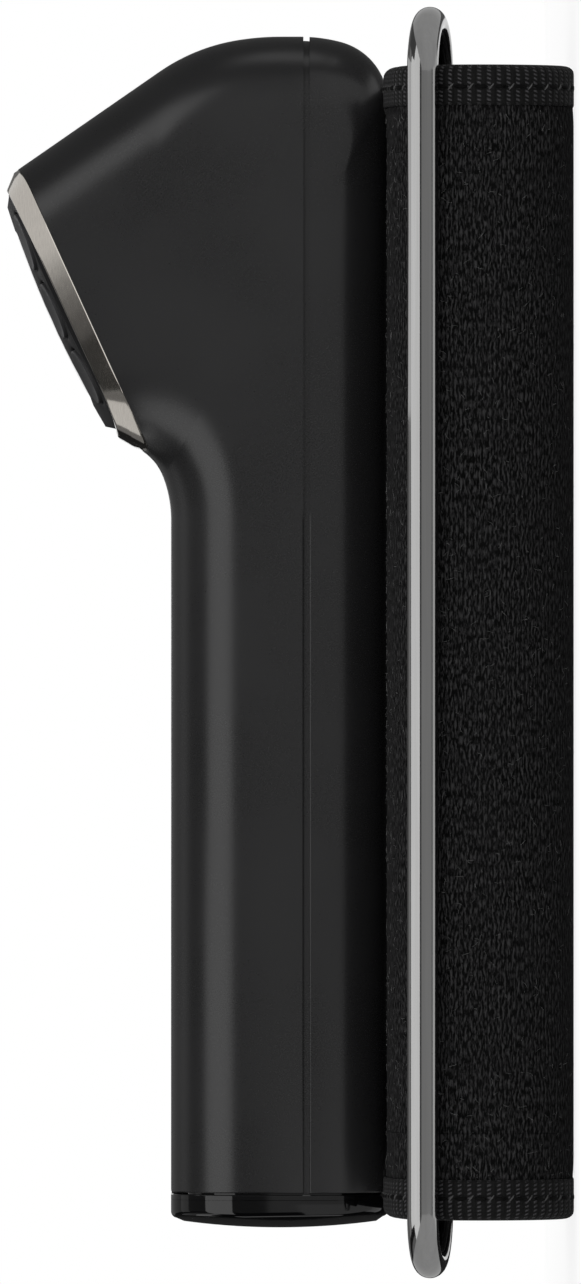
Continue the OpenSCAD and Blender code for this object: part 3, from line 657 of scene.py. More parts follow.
def knit(name):
    """Brushed loop knit: ribs along the cuff, small loops along each rib, and a soft nap"""
    look = Look(name)
    uv = look.coords("UV")
    wobble = look.noise(0.35, uv)
    along = look.node("ShaderNodeSeparateXYZ", {"Vector": uv}).outputs[0]
    across = look.plus(look.math("DIVIDE", along, 0.55), look.times(wobble, 1.6))
    rib = look.math("ABSOLUTE", look.math("SINE", look.times(across, math.pi)))
    strokes = look.node("ShaderNodeMapping", {"Vector": uv, "Scale": (4.2, 1.0, 1)}).outputs["Vector"]
    nap = look.noise(5.5, uv, detail=4, rough=0.75)
    tufts = look.noise(0.16, uv)
    raised = look.remap(look.noise(1.0, strokes, rough=0.6), 0.42, 0.62, 0.0, 1.0, True)
    weave = look.times(raised, look.plus(look.times(rib, 0.75), 0.25))
    body = look.plus(look.times(weave, 0.75), look.times(nap, 0.35))
    tone = look.mix(look.remap(body, 0.2, 0.85), rgb(0.0009), rgb(0.033, 0.0325, 0.0332))
    look.set(
        Base_Color=look.mix(look.remap(tufts, 0.3, 0.75, 0.0, 0.3), tone, rgb(0.008, 0.008, 0.0085)),
        Roughness=look.remap(nap, 0.3, 0.7, 0.85, 0.98),
        Specular_IOR_Level=0.06,
        Sheen_Weight=0.008,
        Sheen_Roughness=0.5,
        Sheen_Tint=rgb(0.5),
        Normal=look.bump(body, 300, 0.7),
    )


def tape(name):
    """Woven binding tape: columns of short slanted yarns"""
    look = Look(name)
    uv = look.coords("UV")
    u, v = look.node("ShaderNodeSeparateXYZ", {"Vector": uv}).outputs[:2]
    drift = look.noise(0.8, uv, detail=2)
    cell_u = look.math("FRACT", look.math("DIVIDE", u, 1.11))
    row = look.plus(look.math("DIVIDE", v, 0.54), look.times(cell_u, 0.8))
    cell_v = look.math("FRACT", look.plus(row, look.times(drift, 0.6)))
    du, dv = look.from_middle(cell_u), look.from_middle(cell_v)
    yarn = look.times(look.remap(du, 0.12, 0.27, 1.0, 0.0, True), look.remap(dv, 0.08, 0.4, 1.0, 0.0, True))
    warp = look.times(look.remap(du, 0.25, 0.5, 0.0, 1.0, True), 0.5)
    fuzz = look.noise(6.0, uv, rough=0.7)
    # Painted highlight: the yarns' tops are painted paler than the tape's own dark colour, and the fuzz dims
    # that highlight at random
    painted_yarn_highlight = look.times(yarn, look.remap(fuzz, 0.35, 0.6, 0.35, 1.0))
    look.set(
        Base_Color=look.mix(painted_yarn_highlight, rgb(0.0045), rgb(0.060, 0.059, 0.062)),
        Roughness=look.remap(fuzz, 0.3, 0.7, 0.6, 0.85),
        Specular_IOR_Level=0.1,
        Sheen_Weight=0.02,
        Sheen_Roughness=0.4,
        Sheen_Tint=rgb(0.5),
        Normal=look.bump(look.plus(look.plus(yarn, warp), look.times(fuzz, 0.25)), 220, 0.8),
    )


def glass(name):
    """Smoked clear plastic, with cloudy patches of tone"""
    look = Look(name)
    cloud = look.noise(80, detail=2)
    look.set(
        Base_Color=look.mix(cloud, rgb(0.045, 0.048, 0.052), rgb(0.06, 0.064, 0.07)),
        Roughness=look.remap(cloud, 0.3, 0.7, 0.03, 0.06),
        Transmission_Weight=0.75,
        IOR=1.5,
        Normal=look.bump(look.noise(120), 2, 0.2),
    )


grainy(
    "shell_soft_touch", rgb(0.0105, 0.0104, 0.0108), 0.29,
    spread=0.03, vary=0.08, grain=3800, depth=10, strength=0.35, Specular_IOR_Level=0.5,
)
grainy(
    "fascia_black", rgb(0.012, 0.012, 0.0125), 0.5,
    spread=0.04, vary=0.1, grain=3200, depth=6, Specular_IOR_Level=0.04,
)
grainy(
    "button_black", rgb(0.026, 0.026, 0.027), 0.42,
    spread=0.05, vary=0.1, grain=4200, depth=10, Specular_IOR_Level=0.12,
)
grainy(
    "lcd", rgb(0.05, 0.06, 0.052), 0.25,
    spread=0.04, grain=900, depth=4, patches=110, Coat_Weight=0.6, Coat_Roughness=0.05,
)
grainy("diffuser", rgb(0.8, 0.8, 0.77), 0.5, grain=1500)
grainy("circuit_board", rgb(0.02, 0.13, 0.06), 0.35, vary=0.25, grain=1200, patches=300, Coat_Weight=0.3)
grainy("chip_black", rgb(0.03), 0.6, grain=5000)
grainy("sensor_ceramic", rgb(0.74, 0.71, 0.64), 0.55)
grainy("moulding_white", rgb(0.78, 0.78, 0.74), 0.5, Subsurface_Weight=0.1)
grainy("band_rubber", rgb(0.03), 0.75, grain=1800, strength=0.5)
grainy("hose_silicone", rgb(0.75, 0.73, 0.66), 0.45, Subsurface_Weight=0.2)
grainy("cage_plastic", rgb(0.06, 0.06, 0.065), 0.5)
grainy(
    "cap_gloss", rgb(0.0012, 0.0012, 0.0014), 0.06,
    spread=0.015, vary=0.1, grain=500, depth=0.8, strength=0.15,
)
grainy("plate_plastic", rgb(0.02), 0.6, grain=2500)
THREAD = {"grain": 9000, "depth": 40, "strength": 0.8}
grainy("stitch_dark", rgb(0.0012), 0.7, **THREAD, Specular_IOR_Level=0.1)
grainy("stitch_pale", rgb(0.055), 0.7, **THREAD, Specular_IOR_Level=0.2)
grainy("lint", rgb(0.16), 0.7, grain=9000, Sheen_Weight=0.3)
grainy("bladder_rubber", rgb(0.2, 0.21, 0.23), 0.4, grain=700, depth=30)
grainy("hook_fabric", rgb(0.02), 0.5, grain=1500, depth=300, strength=1.0)
brushed("bezel_metal", rgb(0.43, 0.405, 0.37), 0.1, (1, 1, 12), spread=0.03, depth=0.4)
brushed("switch_metal", rgb(0.6), 0.3, (1, 9, 1))
brushed("screw_steel", rgb(0.55, 0.56, 0.58), 0.32, (9, 9, 1))
brushed("motor_steel", rgb(0.6, 0.61, 0.62), 0.3, (10, 1, 1))
brushed("cell_jacket", rgb(0.5, 0.26, 0.1), 0.28, (1, 8, 1))
brushed("contact_metal", rgb(0.7, 0.62, 0.42), 0.25, (8, 1, 1))
brushed("ring_nickel", rgb(0.32, 0.319, 0.317), 0.09, (1, 0.02, 1), spread=0.02, scale=420, depth=2)
knit("knit_fabric")
tape("tape_fabric")
glass("window_smoke")

# The monitor

front_low = SPLIT_Z + GROOVE_W / 2
rear_high = SPLIT_Z - GROOVE_W / 2
bm = shell(0, WALL, low=front_low)
finish_mesh(bm, "front_housing", "shell_soft_touch", ["front_shell"])
bm = shell(0, WALL, high=rear_high)
# The tongue behind the parting groove reaches into both shells
TONGUE_DOWN, TONGUE_UP = 0.7, 0.9
rear = shell(GROOVE_DEPTH, WALL - 0.3, low=rear_high - TONGUE_DOWN, high=front_low + TONGUE_UP, edge=0)
strip = bpy.data.meshes.new("strip")
rear.to_mesh(strip)
rear.free()
bm.from_mesh(strip)
finish_mesh(bm, "rear_housing", "shell_soft_touch", ["rear_shell"])

SEAT_Z, BEZEL_H, BEZEL_SLOPE, BEZEL_LAND = 0.35, 2.2, 1.85, 0.3
WELL = BEZEL_SLOPE + BEZEL_LAND + 0.1
SPIGOT, SPIGOT_LOW = WALL + 0.2, -2.4
FACET_LOW, FACET_ENDS, FACET_SIDES, FACET_LEAN = 0.3, 0.1, 0.72, 0.568
# The face's drop at a half width of SIDE_X, and how much of it is lost with each millimetre up the face
SIDE_DROP, SIDE_DROP_LEAN, SIDE_X = 0.635, 0.0197, 22.5


def side_drop(x, y):
    """How much the face's top curves down towards its sides, more so near the handle"""
    return (SIDE_DROP - SIDE_DROP_LEAN * y) * (x / SIDE_X) ** 2


def bezel_rings():
    """The bezel's rings: a thin lip on the housing, one tall facet, the flat land, and the spigot inside"""
    lip = ((0.06, 0.04), (0.015, 0.1), (0.055, 0.2), (0.07, 0.23))
    rings = [to_rim(inset, lift)[-1] for inset, lift in lip]
    ways = []
    for middle in (FACET_ENDS, FACET_SIDES):
        corners = [(middle, FACET_LOW), (BEZEL_SLOPE, BEZEL_H), (BEZEL_SLOPE + BEZEL_LAND, BEZEL_H)]
        corners += [(WELL, SEAT_Z), (SPIGOT + 1, SEAT_Z), (SPIGOT + 1, SPIGOT_LOW), (SPIGOT, SPIGOT_LOW)]
        corners += [(SPIGOT, 0.05), (WALL, 0.05)]
        ways.append(rounded(corners, [0, 0.22, 0.12] + [0] * 6))
    flat = face_loop(0)
    for (ends, z), (sides, _) in zip(*ways):
        ring = []
        top = z > 1
        edge = top and ends < BEZEL_SLOPE + 0.2
        for (x, y), a, b, wide in zip(flat, face_loop(ends), face_loop(sides), face_loop(ends - 0.4)):
            f = sideways(x, y)
            drop = top * side_drop(x, y)
            place = Vector(a).lerp(Vector(b), f)
            place += (Vector(wide) - Vector(a)) * (edge * drop * FACET_LEAN / 0.4)
            ring.append(on_face((place.x, place.y, z - drop)))
        rings.append(ring)
    low_ring, mid_ring, top_ring = rings[3:6]
    for k, (x, y) in enumerate(flat):
        chord = (Vector(low_ring[k]) + Vector(top_ring[k])) / 2
        mid_ring[k] = tuple(Vector(mid_ring[k]).lerp(chord, sideways(x, y)))
    for k, f in ((5, 0.9), (4, 0.9), (4, 0.1)):
        rings.insert(k, [part_way(a, b, f) for a, b in zip(rings[k - 1], rings[k])])
    return rings


bm = bmesh.new()
add_skin(bm, bezel_rings(), closed=True)
finish_mesh(bm, "face_bezel", "bezel_metal", ["bezel"], 20)

DOME_Z, DOME_X, DOME_Y, DOME_UP = BEZEL_H + 1.55, 200, 136, 1.1


def dome_at(x, y):
    """The fascia's crowned top"""
    across = DOME_X - math.sqrt(DOME_X**2 - x * x)
    along = DOME_Y - math.sqrt(DOME_Y**2 - (y - DOME_UP) ** 2)
    return DOME_Z - across - along - side_drop(x, y)


BUTTON_D, BUTTON_PITCH, BUTTON_X = 7.7, 9.6, BODY_W / 2 - 7.8
WINDOW_LEFT, WINDOW_RIGHT = 5.5 - BODY_W / 2, BUTTON_X - BUTTON_D / 2 - 4.9
WINDOW_UP, WINDOW_LEN, WINDOW_R, WINDOW_GAP = 0.5, 23, 1.6, 0.1
window_mid, window_w = (WINDOW_LEFT + WINDOW_RIGHT) / 2, WINDOW_RIGHT - WINDOW_LEFT
window = round_rect(window_mid, WINDOW_UP, window_w, WINDOW_LEN, WINDOW_R)


def button_y(i):
    return 1 + i * BUTTON_PITCH


loops = [lambda d: face_loop(WELL + 0.03 + d), window]
loops += [circle(BUTTON_X, button_y(i), BUTTON_D / 2 + 0.2) for i in (1, 0, -1)]
bm = plate(loops, dome_at, SEAT_Z + 0.05, on_face, ease=0.4)
finish_mesh(bm, "face_fascia", "fascia_black", ["fascia"])

pane = [lambda d: window(-WINDOW_GAP - d)]
bm = plate(pane, lambda x, y: dome_at(x, y) - 0.05, 1.45, on_face, ease=0.12)
finish_mesh(bm, "face_window", "window_smoke", ["display_window"])

RIM, RIM_ROUND, DISH, DISH_IN, TRAVEL = 0.25, 0.16, 0.35, 0.3, 0.5
FLANGE, FLANGE_TOP, FLANGE_LOW, STEM_R = 0.5, -2, -2.8, 1.5
# The board's top under the face, and what stands between it and a key's stem
BOARD_TOP, SWITCH_H, PLUNGER_H, SLIDE_FIT = -6, 2, 0.6, 0.2


def button_profile(seat):
    """A key from the middle of its dish, over its rim, to the flange and the stem that reaches the switch"""
    r = BUTTON_D / 2
    rim_in = r - DISH_IN
    dish_r = (rim_in**2 + DISH**2) / (2 * DISH)
    profile = []
    for k in range(13):
        q = (rim_in - 0.12) * k / 12
        profile.append((q, RIM - DISH + dish_r - math.sqrt(dish_r**2 - q * q)))
    profile += [(rim_in - 0.03, RIM - 0.016), (rim_in + 0.04, RIM - 0.002), (r - RIM_ROUND, RIM)]
    profile += [(r - RIM_ROUND * (1 - sin(a)), RIM - RIM_ROUND * (1 - cos(a))) for a in (22, 45, 68, 90)]
    low = BOARD_TOP + SWITCH_H + PLUNGER_H + TRAVEL + SLIDE_FIT - seat
    profile += [(r, FLANGE_TOP), (r + FLANGE, FLANGE_TOP), (r + FLANGE, FLANGE_LOW), (STEM_R, FLANGE_LOW)]
    return profile + [(STEM_R, low), (0, low)]


for i, place in ((1, "top"), (0, "middle"), (-1, "bottom")):
    y = button_y(i)
    centre = Vector((BUTTON_X, y, dome_at(BUTTON_X, y)))
    tilt = Matrix.Rotation(-math.asin((y - DOME_UP) / DOME_Y), 3, "X")
    lean = Matrix.Rotation(math.asin(BUTTON_X / DOME_X) + 2 * side_drop(BUTTON_X, y) / BUTTON_X, 3, "Y")
    bm = bmesh.new()
    lathe(bm, button_profile(centre.z), lambda p: on_face(centre + lean @ tilt @ Vector(p)))
    finish_mesh(bm, "key_" + place, "button_black", ["button_" + place], body=place + "_button")

# The gloss end cap: an eased barrel below, a skirt above
CAP_Y, CAP_H, CAP_LONG, CAP_DEEP = SEAM_Y - 0.2, 4.72, 180, 93
CAP_MID = (BODY_BACK + BODY_FRONT) / 2


def cap_low(x, z):
    """The cap's barrelled end, bulged both ways"""
    rise = CAP_LONG - math.sqrt(CAP_LONG**2 - x * x) + CAP_DEEP - math.sqrt(CAP_DEEP**2 - (z - CAP_MID) ** 2)
    return CAP_Y - CAP_H + rise


def end_cap():
    bm = plate(
        [lambda d: [(x, z - CAP_MID) for x, z in handle_loop(d)]],
        lambda x, z: -cap_low(x, z + CAP_MID),
        -CAP_Y + 0.6,
        lambda p: (p[0], -p[2], p[1] + CAP_MID),
        ease=0.7,
        spacing=1.6,
        steps=5,
    )
    skirt = [(0.12, 0), (0.0, -0.12), (0.0, -0.75), (2.4, -0.75), (2.3, -0.4), (3.3, -1.4)]
    skirt += [(3.3, 3.8), (3.1, 4), (2.4, 4), (2.2, 3.8), (2.2, 0)]
    rings = [[(x, CAP_Y + rise, z) for x, z in handle_loop(inset)] for inset, rise in skirt]
    add_skin(bm, rings, closed=True)
    return bm


finish_mesh(end_cap(), "end_cap", "cap_gloss", ["battery_cap"], body="cap")

# The ring

HINGE_X, HINGE_Z = FOLD_REACH - 2 - 0.5, PAD_HIGH + PAD_T / 2 - 0.1
# How much higher the near bar rests than the far one
REST_RISE = 2


def ring_path():
    """The rod's middle line, on a plane that leans with the ring, and that plane's normal"""
    rest = math.asin(REST_RISE / BAR_PITCH)
    out = Vector((math.cos(rest), 0, math.sin(rest)))
    far = Vector((HINGE_X, 0, HINGE_Z))
    half = (RING_LEN - ROD_D - BAR_PITCH) / 2
    r = BAR_PITCH / 2
    points = []
    for end in (1, -1):
        for k in range(33):
            a = 180 * k / 32
            points.append(far + out * (r - end * r * cos(a)) + Vector((0, end * (half + r * sin(a)), 0)))
        last = points[-1]
        for k in range(1, 12):
            points.append(Vector((last.x, end * half * (1 - k / 6), last.z)))
    return points, Vector((-out.z, 0, out.x))


def ring_mesh(sides=64):
    """A round rod along the ring's path"""
    bm = bmesh.new()
    path, normal = ring_path()
    rings = []
    for before, p, after in zip(path[-1:] + path, path, path[1:] + path):
        across = normal.cross(after - before).normalized()
        rings.append([p + ROD_D / 2 * (cos(a) * across + sin(a) * normal) for a in turns(sides)])
    add_skin(bm, rings, closed=True)
    return bm


finish_mesh(ring_mesh(), "cuff_loop", "ring_nickel", ["cuff_ring"], body="ring")

# The folded cuff

TURN_X, INNER_TURN_X, TAIL_END = FOLD_REACH - 2, FOLD_REACH + 0.5, BODY_W / 2 + 6
CORE, EDGE = CUFF_W - 2 * TAPE_W, CUFF_W - 1.2
SLEEVE_IN, SLEEVE_OUT = 2.2, 2.9


def strap_sides():
    """Both sides of the folded strap, from its tail to the sleeve: rows of (a, b, depth of wave)"""
    rows = []

    def run(x0, x1, za, zb):
        n = max(2, round(abs(x1 - x0) / 2.4))
        for k in range(n + 1):
            x = x0 + (x1 - x0) * k / n
            rows.append(((x, za), (x, zb), 0.0))

    def bend(x, circle_a, circle_b, start, sweep, wave, n):
        for k in range(1, n):
            t = start + sweep * k / n
            a, b = [(x + r * cos(t), centre + r * sin(t)) for centre, r in (circle_a, circle_b)]
            rows.append((a, b, wave * sin(180 * k / n)))

    c = TAIL_TOP / 2
    run(TAIL_END, TURN_X, TAIL_TOP, TAIL_LOW)
    bend(TURN_X, (c, c), (c, c - STRAP_T), 90, -180, 0.35, 44)
    run(TURN_X, -FOLD_REACH, 0, STRAP_T)
    low = LAY_BACK + STRAP_T
    bend(-FOLD_REACH, (low / 2, low / 2), (low / 2, STRAP_GAP / 2), -90, -180, 0.15, 20)
    run(-FOLD_REACH, INNER_TURN_X, low, LAY_BACK)
    c, c_out = (low + PAD_LOW) / 2, (LAY_BACK + PAD_LOW + PAD_T) / 2
    bend(INNER_TURN_X, (c, (PAD_LOW - low) / 2), (c_out, PAD_LOW + PAD_T - c_out), -90, 180, 0.0, 20)
    run(INNER_TURN_X, -FOLD_REACH, PAD_LOW, PAD_LOW + PAD_T)
    c = (PAD_LOW + PAD_TOP) / 2
    bend(-FOLD_REACH, (c, PAD_TOP - c), (c, PAD_GAP / 2), -90, -180, 0.2, 28)
    run(-FOLD_REACH, HINGE_X - 1.5, PAD_TOP, PAD_HIGH)
    return rows


def strap_rows():
    """The strap's rows with the length along it, and the outward direction of each row"""
    rows, s, last = [], 0.0, None
    for a, b, wave in strap_sides():
        m = ((a[0] + b[0]) / 2, (a[1] + b[1]) / 2)
        if last is not None:
            s += math.hypot(m[0] - last[0], m[1] - last[1])
        last = m
        d = Vector((a[0] - b[0], a[1] - b[1]))
        rows.append({"a": a, "mid": m, "s": s, "t": d.length, "n": d.normalized(), "wave": wave})
    return rows


STRAP = strap_rows()
STRAP_LEN = STRAP[-1]["s"]


PINCH, PINCH_REACH = 0.22, 1.4
# The scales of the strap's waves along and across it, and their place in the noise
WAVE_ALONG, WAVE_ACROSS, WAVE_PLACE = 0.05, 0.028, 3.7


def bulge(x, middle, half, power=2):
    """1 in the middle of a stretch, and 0 from its ends on"""
    return max(0.0, 1 - (abs(x - middle) / half) ** power)


def crowning(row, y):
    """How far the strap's top stands proud beside the housing, where nothing holds it down"""
    x, z = row["a"]
    if abs(z - TAIL_TOP) < 1e-3:
        return (0.5 + 1.6 * min(pinch(y), PINCH)) * bulge(x, 39, 9)
    if abs(z - PAD_TOP) > 1e-3 or abs(x) > FOLD_REACH:
        return 0.0
    return (0.75 * bulge(x, -33.5, 16.5) + 0.25 * bulge(x, 23, 6)) * bulge(y, 0, CORE / 2, 6)


def strap_point(row, y, side, inset=0.0):
    """A point on one side of the strap: side is 1 for a, -1 for b, and anything between is inside it"""
    wave = row["wave"] * noise.noise(Vector((y * WAVE_ACROSS, row["s"] * WAVE_ALONG, WAVE_PLACE)))
    half = row["t"] / 2 - inset
    lift = crowning(row, y) if side > 0 else 0.0
    m = Vector(row["mid"]) + row["n"] * (wave + side * half + lift)
    return (m.x, y, m.y)


def pinch(y):
    """How much thinner the strap is near and under its binding"""
    edge = CORE / 2
    if abs(y) > edge:
        return TAPE_T + 0.08
    return PINCH * math.exp(-(((edge - abs(y)) / PINCH_REACH) ** 2))


def strap_mesh():
    half = [0.0]
    while half[-1] < CORE / 2 - 8:
        half.append(half[-1] + 3)
    half += [CORE / 2 - k for k in (6, 4, 2.8, 1.9, 1.2, 0.6, 0.15)] + [CORE / 2 + 0.1, EDGE / 2]
    ys = [-y for y in reversed(half[1:])] + half
    bm = bmesh.new()
    uv = bm.loops.layers.uv.new("UVMap")
    sides, place = {}, {}
    for side in (1, -1):
        for i, row in enumerate(STRAP):
            for j, y in enumerate(ys):
                v = bm.verts.new(strap_point(row, y, side, pinch(y)))
                sides[side, i, j] = v
                place[v] = (row["s"], y)
    for quad in two_sided(sides, len(STRAP), len(ys)):
        bm.faces.new(quad)
    lay_uv(bm, uv, place | add_sleeve(bm))
    return bm


def add_sleeve(bm, steps=48):
    """The fabric tube round the ring's far bar. Gives each vertex its place on the flat cloth"""
    half = CUFF_W / 2 - 0.3
    ys = [-half + 2 * half * k / 40 for k in range(41)]
    rings = []
    for radius, ends in ((SLEEVE_OUT, ys), (SLEEVE_IN + 0.02, ys[::-1])):
        for y in ends:
            rings.append([(HINGE_X + radius * cos(a), y, HINGE_Z + radius * sin(a)) for a in turns(steps)])
    rows = add_skin(bm, rings, closed=True)
    return {v: (k * 2 * math.pi * SLEEVE_OUT / steps, v.co.y) for row in rows for k, v in enumerate(row)}


def tape_section(t, side):
    """The tape's closed U in (y, height), round one edge of a strap of thickness t"""
    end = side * CUFF_W / 2
    start = end - side * TAPE_W
    h = t / 2 + 0.1
    hi = h - TAPE_T
    nose = 1.35
    outer = [(start + side * run, h) for run in (0.22, 1.2, 2.6)]
    inner = [(y, hi) for y, _ in outer]
    for k in range(13):
        a = 180 * k / 12
        outer.append((end - side * nose * (1 - sin(a)), h * cos(a)))
        inner.append((end - side * TAPE_T - side * (nose - 0.1) * (1 - sin(a)), hi * cos(a)))
    outer += [(y, -z) for y, z in reversed(outer[:3])]
    inner += [(y, -z) for y, z in reversed(inner[:3])]
    lip = [(start + side * 0.05, h - 0.07), (start, h - TAPE_T / 2), (start + side * 0.05, hi + 0.07)]
    return outer + [(y, -z) for y, z in lip] + inner[::-1] + lip[::-1]


def tape_mesh(side):
    bm = bmesh.new()
    uv = bm.loops.layers.uv.new("UVMap")
    rings, spots = [], []
    for row in STRAP:
        points = tape_section(row["t"], side)
        rings.append([strap_point(row, y, h / (row["t"] / 2)) for y, h in points])
        run = 0.0
        for (y, h), (last_y, last_h) in zip(points, points[:1] + points):
            run += math.hypot(y - last_y, h - last_h)
            spots.append((row["s"], run))
    rows = add_skin(bm, rings)
    lay_uv(bm, uv, dict(zip((v for row in rows for v in row), spots)))
    return bm


def at_length(s):
    """The strap's row at a length along it"""
    for a, b in zip(STRAP, STRAP[1:]):
        if s <= b["s"] and b["s"] > a["s"]:
            f = (s - a["s"]) / (b["s"] - a["s"])
            row = {key: a[key] * (1 - f) + b[key] * f for key in ("t", "wave")}
            for key in ("a", "mid", "n"):
                row[key] = part_way(a[key], b[key], f)
            return row | {"s": s, "n": Vector(row["n"]).normalized()}
    return STRAP[-1]


def capsule(bm, path, radius, sides=6):
    """A short round thread through points"""
    rings = []
    up = Vector((0.3, 0.1, 0.9))
    for i, p in enumerate(path):
        a, b = Vector(path[max(i - 1, 0)]), Vector(path[min(i + 1, len(path) - 1)])
        t = (b - a).normalized()
        u = t.cross(up).normalized()
        w = t.cross(u)
        r = radius * (0.55 if i in (0, len(path) - 1) else 1)
        rings.append([Vector(p) + r * (cos(a) * u + sin(a) * w) for a in turns(sides)])
    add_skin(bm, rings)


STITCH_PITCH, STITCH_IN = 2.3, 2.85
# Each stitch: a thick dark run, and after it a thin pale end that slants over the seam
RUN_LEN, RUN_R, RUN_LIFTS = 1.4, 0.27, (-0.08, 0.1, 0.13, 0.1, -0.08)
END_AT, END_LEN, END_R, END_LIFTS = 1.52, 0.58, 0.12, (-0.04, 0.1, 0.1, -0.04)
END_SLANT, TAPE_LIFT, WANDER = 0.26, 0.1, 0.03
SEAM_START, SEAM_STOP = 1.2, 2.6


def stitch_meshes(edge):
    """Lockstitch along one binding, on both sides of the strap: the dark runs and the pale slanted ends"""
    dark, pale = bmesh.new(), bmesh.new()
    seam = edge * (CUFF_W / 2 - STITCH_IN)
    rng = random.Random(7 + edge)

    def thread_point(s, y, side, lift):
        row = at_length(s)
        return strap_point(row, y, side * (1 + (TAPE_LIFT + lift) / (row["t"] / 2)))

    s = SEAM_START
    while s < STRAP_LEN - SEAM_STOP:
        for side in (1, -1):
            path = []
            for k, lift in enumerate(RUN_LIFTS):
                y = seam + rng.uniform(-WANDER, WANDER)
                path.append(thread_point(s + RUN_LEN * k / 4, y, side, lift))
            capsule(dark, path, RUN_R)
            path = []
            for k, lift in enumerate(END_LIFTS):
                y = seam + (k - 1.5) * END_SLANT
                path.append(thread_point(s + END_AT + END_LEN * k / 3, y, side, lift))
            capsule(pale, path, END_R)
        s += STITCH_PITCH
    return dark, pale


cloth = finish_mesh(strap_mesh(), "cuff_cloth", "knit_fabric", ["cuff_wrap"], 60)
for edge, name in ((1, "head_end"), (-1, "cap_end")):
    bm = tape_mesh(edge)
    finish_mesh(bm, "tape_" + name, "tape_fabric", ["binding_" + name], 60)
    for bm, tone in zip(stitch_meshes(edge), ("dark", "pale")):
        thread = f"stitches_{name}_{tone}"
        finish_mesh(bm, thread, "tape_fabric", (), 60, "stitch_" + tone)


LINT_COUNT, LINT_MARGIN = 1600, 0.5
# From the tail's end to just past the big turn, where the knit shows
LINT_REACH = 24 + math.pi * 10.5


def lint_mesh():
    """Fine stray fibres that lie on the knit"""
    rng = random.Random(11)
    bm = bmesh.new()
    for _ in range(LINT_COUNT):
        s = rng.uniform(0, LINT_REACH)
        y = rng.uniform(-CORE / 2 + LINT_MARGIN, CORE / 2 - LINT_MARGIN)
        heading = rng.uniform(0, math.tau)
        bend = rng.uniform(-1.2, 1.2)
        length = rng.uniform(0.3, 1.1)
        path = []
        for k in range(4):
            row = at_length(max(0.0, s))
            lift = 0.03 + 0.12 * math.sin(math.pi * k / 3) * rng.random()
            path.append(strap_point(row, y, 1 + lift / (row["t"] / 2)))
            s += math.cos(heading) * length / 3
            y += math.sin(heading) * length / 3
            heading += bend / 3
        capsule(bm, path, rng.uniform(0.007, 0.013), 3)
    return bm


finish_mesh(lint_mesh(), "stray_fibres", "knit_fabric", (), 60, "lint")


BLADDER_LEN, BLADDER_END, BLADDER_WELD, BLADDER_FILL = CUFF_W - 26, TURN_X - 6, 0.12, 0.45


def bladder_mesh():
    """The air bladder in the pad: a flat bag folded once, full in the middle, thin at its welded edge"""
    bm = bmesh.new()
    half = BLADDER_LEN / 2
    top, low = PAD_HIGH + PAD_T / 2, PAD_LOW + PAD_T / 2
    middle, r = (top + low) / 2, (top - low) / 2
    xs = [BLADDER_END - (BLADDER_END + FOLD_REACH) * k / 30 for k in range(31)]
    path = [(x, top) for x in xs]
    path += [(-FOLD_REACH - r * sin(9 * k), middle + r * cos(9 * k)) for k in range(1, 20)]
    path += [(x, low) for x in reversed(xs)]
    last = len(path) - 1
    ys = [-half + 2 * half * j / 30 for j in range(31)]
    sides = {}
    for i, (x, z) in enumerate(path):
        a, b = path[max(i - 1, 0)], path[min(i + 1, last)]
        out = Vector((b[1] - a[1], a[0] - b[0])).normalized()
        for j, y in enumerate(ys):
            full = min(1, min(i, last - i) / 4) ** 0.5 * min(1, min(j, 30 - j) / 3) ** 0.5
            t = BLADDER_WELD + BLADDER_FILL * full
            for side in (1, -1):
                sides[side, i, j] = bm.verts.new((x + out.x * t * side, y, z + out.y * t * side))
    for quad in two_sided(sides, len(path), len(ys)):
        bm.faces.new(quad)
    return bm


bladder = finish_mesh(bladder_mesh(), "cuff_bladder", "bladder_rubber", ["air_bladder"])

# The CAD nodes that stay

NODE_LOOKS = {
    "lcd": ["lcd_panel"],
    "diffuser": ["light_guide"],
    "circuit_board": ["main_board"],
    "switch_metal": ["key_switches"],
    "chip_black": ["board_chips"],
    "sensor_ceramic": ["pressure_sensor"],
    "screw_steel": ["board_screws", "shell_screws", "plate_screws"],
    "motor_steel": ["pump_motor", "release_valve"],
    "moulding_white": ["pump_head", "air_manifold", "cuff_nozzle"],
    "band_rubber": ["pump_band"],
    "hose_silicone": ["air_hoses"],
    "cage_plastic": ["battery_cage"],
    "cell_jacket": ["battery_cells"],
    "contact_metal": ["cell_springs", "cap_contacts"],
    "plate_plastic": ["mount_plate", "clamp_plate"],
    "hook_fabric": ["hook_patch"],
}
for look, nodes in NODE_LOOKS.items():
    for node in nodes:
        for material_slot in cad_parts[node].material_slots:
            material_slot.material = LOOKS[look]

# Floor, lights and camera


def stage_mesh(name, rows, look, is_open=lambda k, j: False):
    """A piece of the stage through rows of points, with the faces that is_open(k, j) names left out"""
    n = len(rows[0])
    faces = []
    for k in range(len(rows) - 1):
        for j in range(n - 1):
            if not is_open(k, j):
                faces.append((k * n + j, k * n + j + 1, (k + 1) * n + j + 1, (k + 1) * n + j))
    mesh = bpy.data.meshes.new(name)
    mesh.from_pydata([p for row in rows for p in row], [], faces)
    mesh.materials.append(LOOKS[look])
    obj = bpy.data.objects.new(name, mesh)
    bpy.context.scene.collection.objects.link(obj)
    return obj


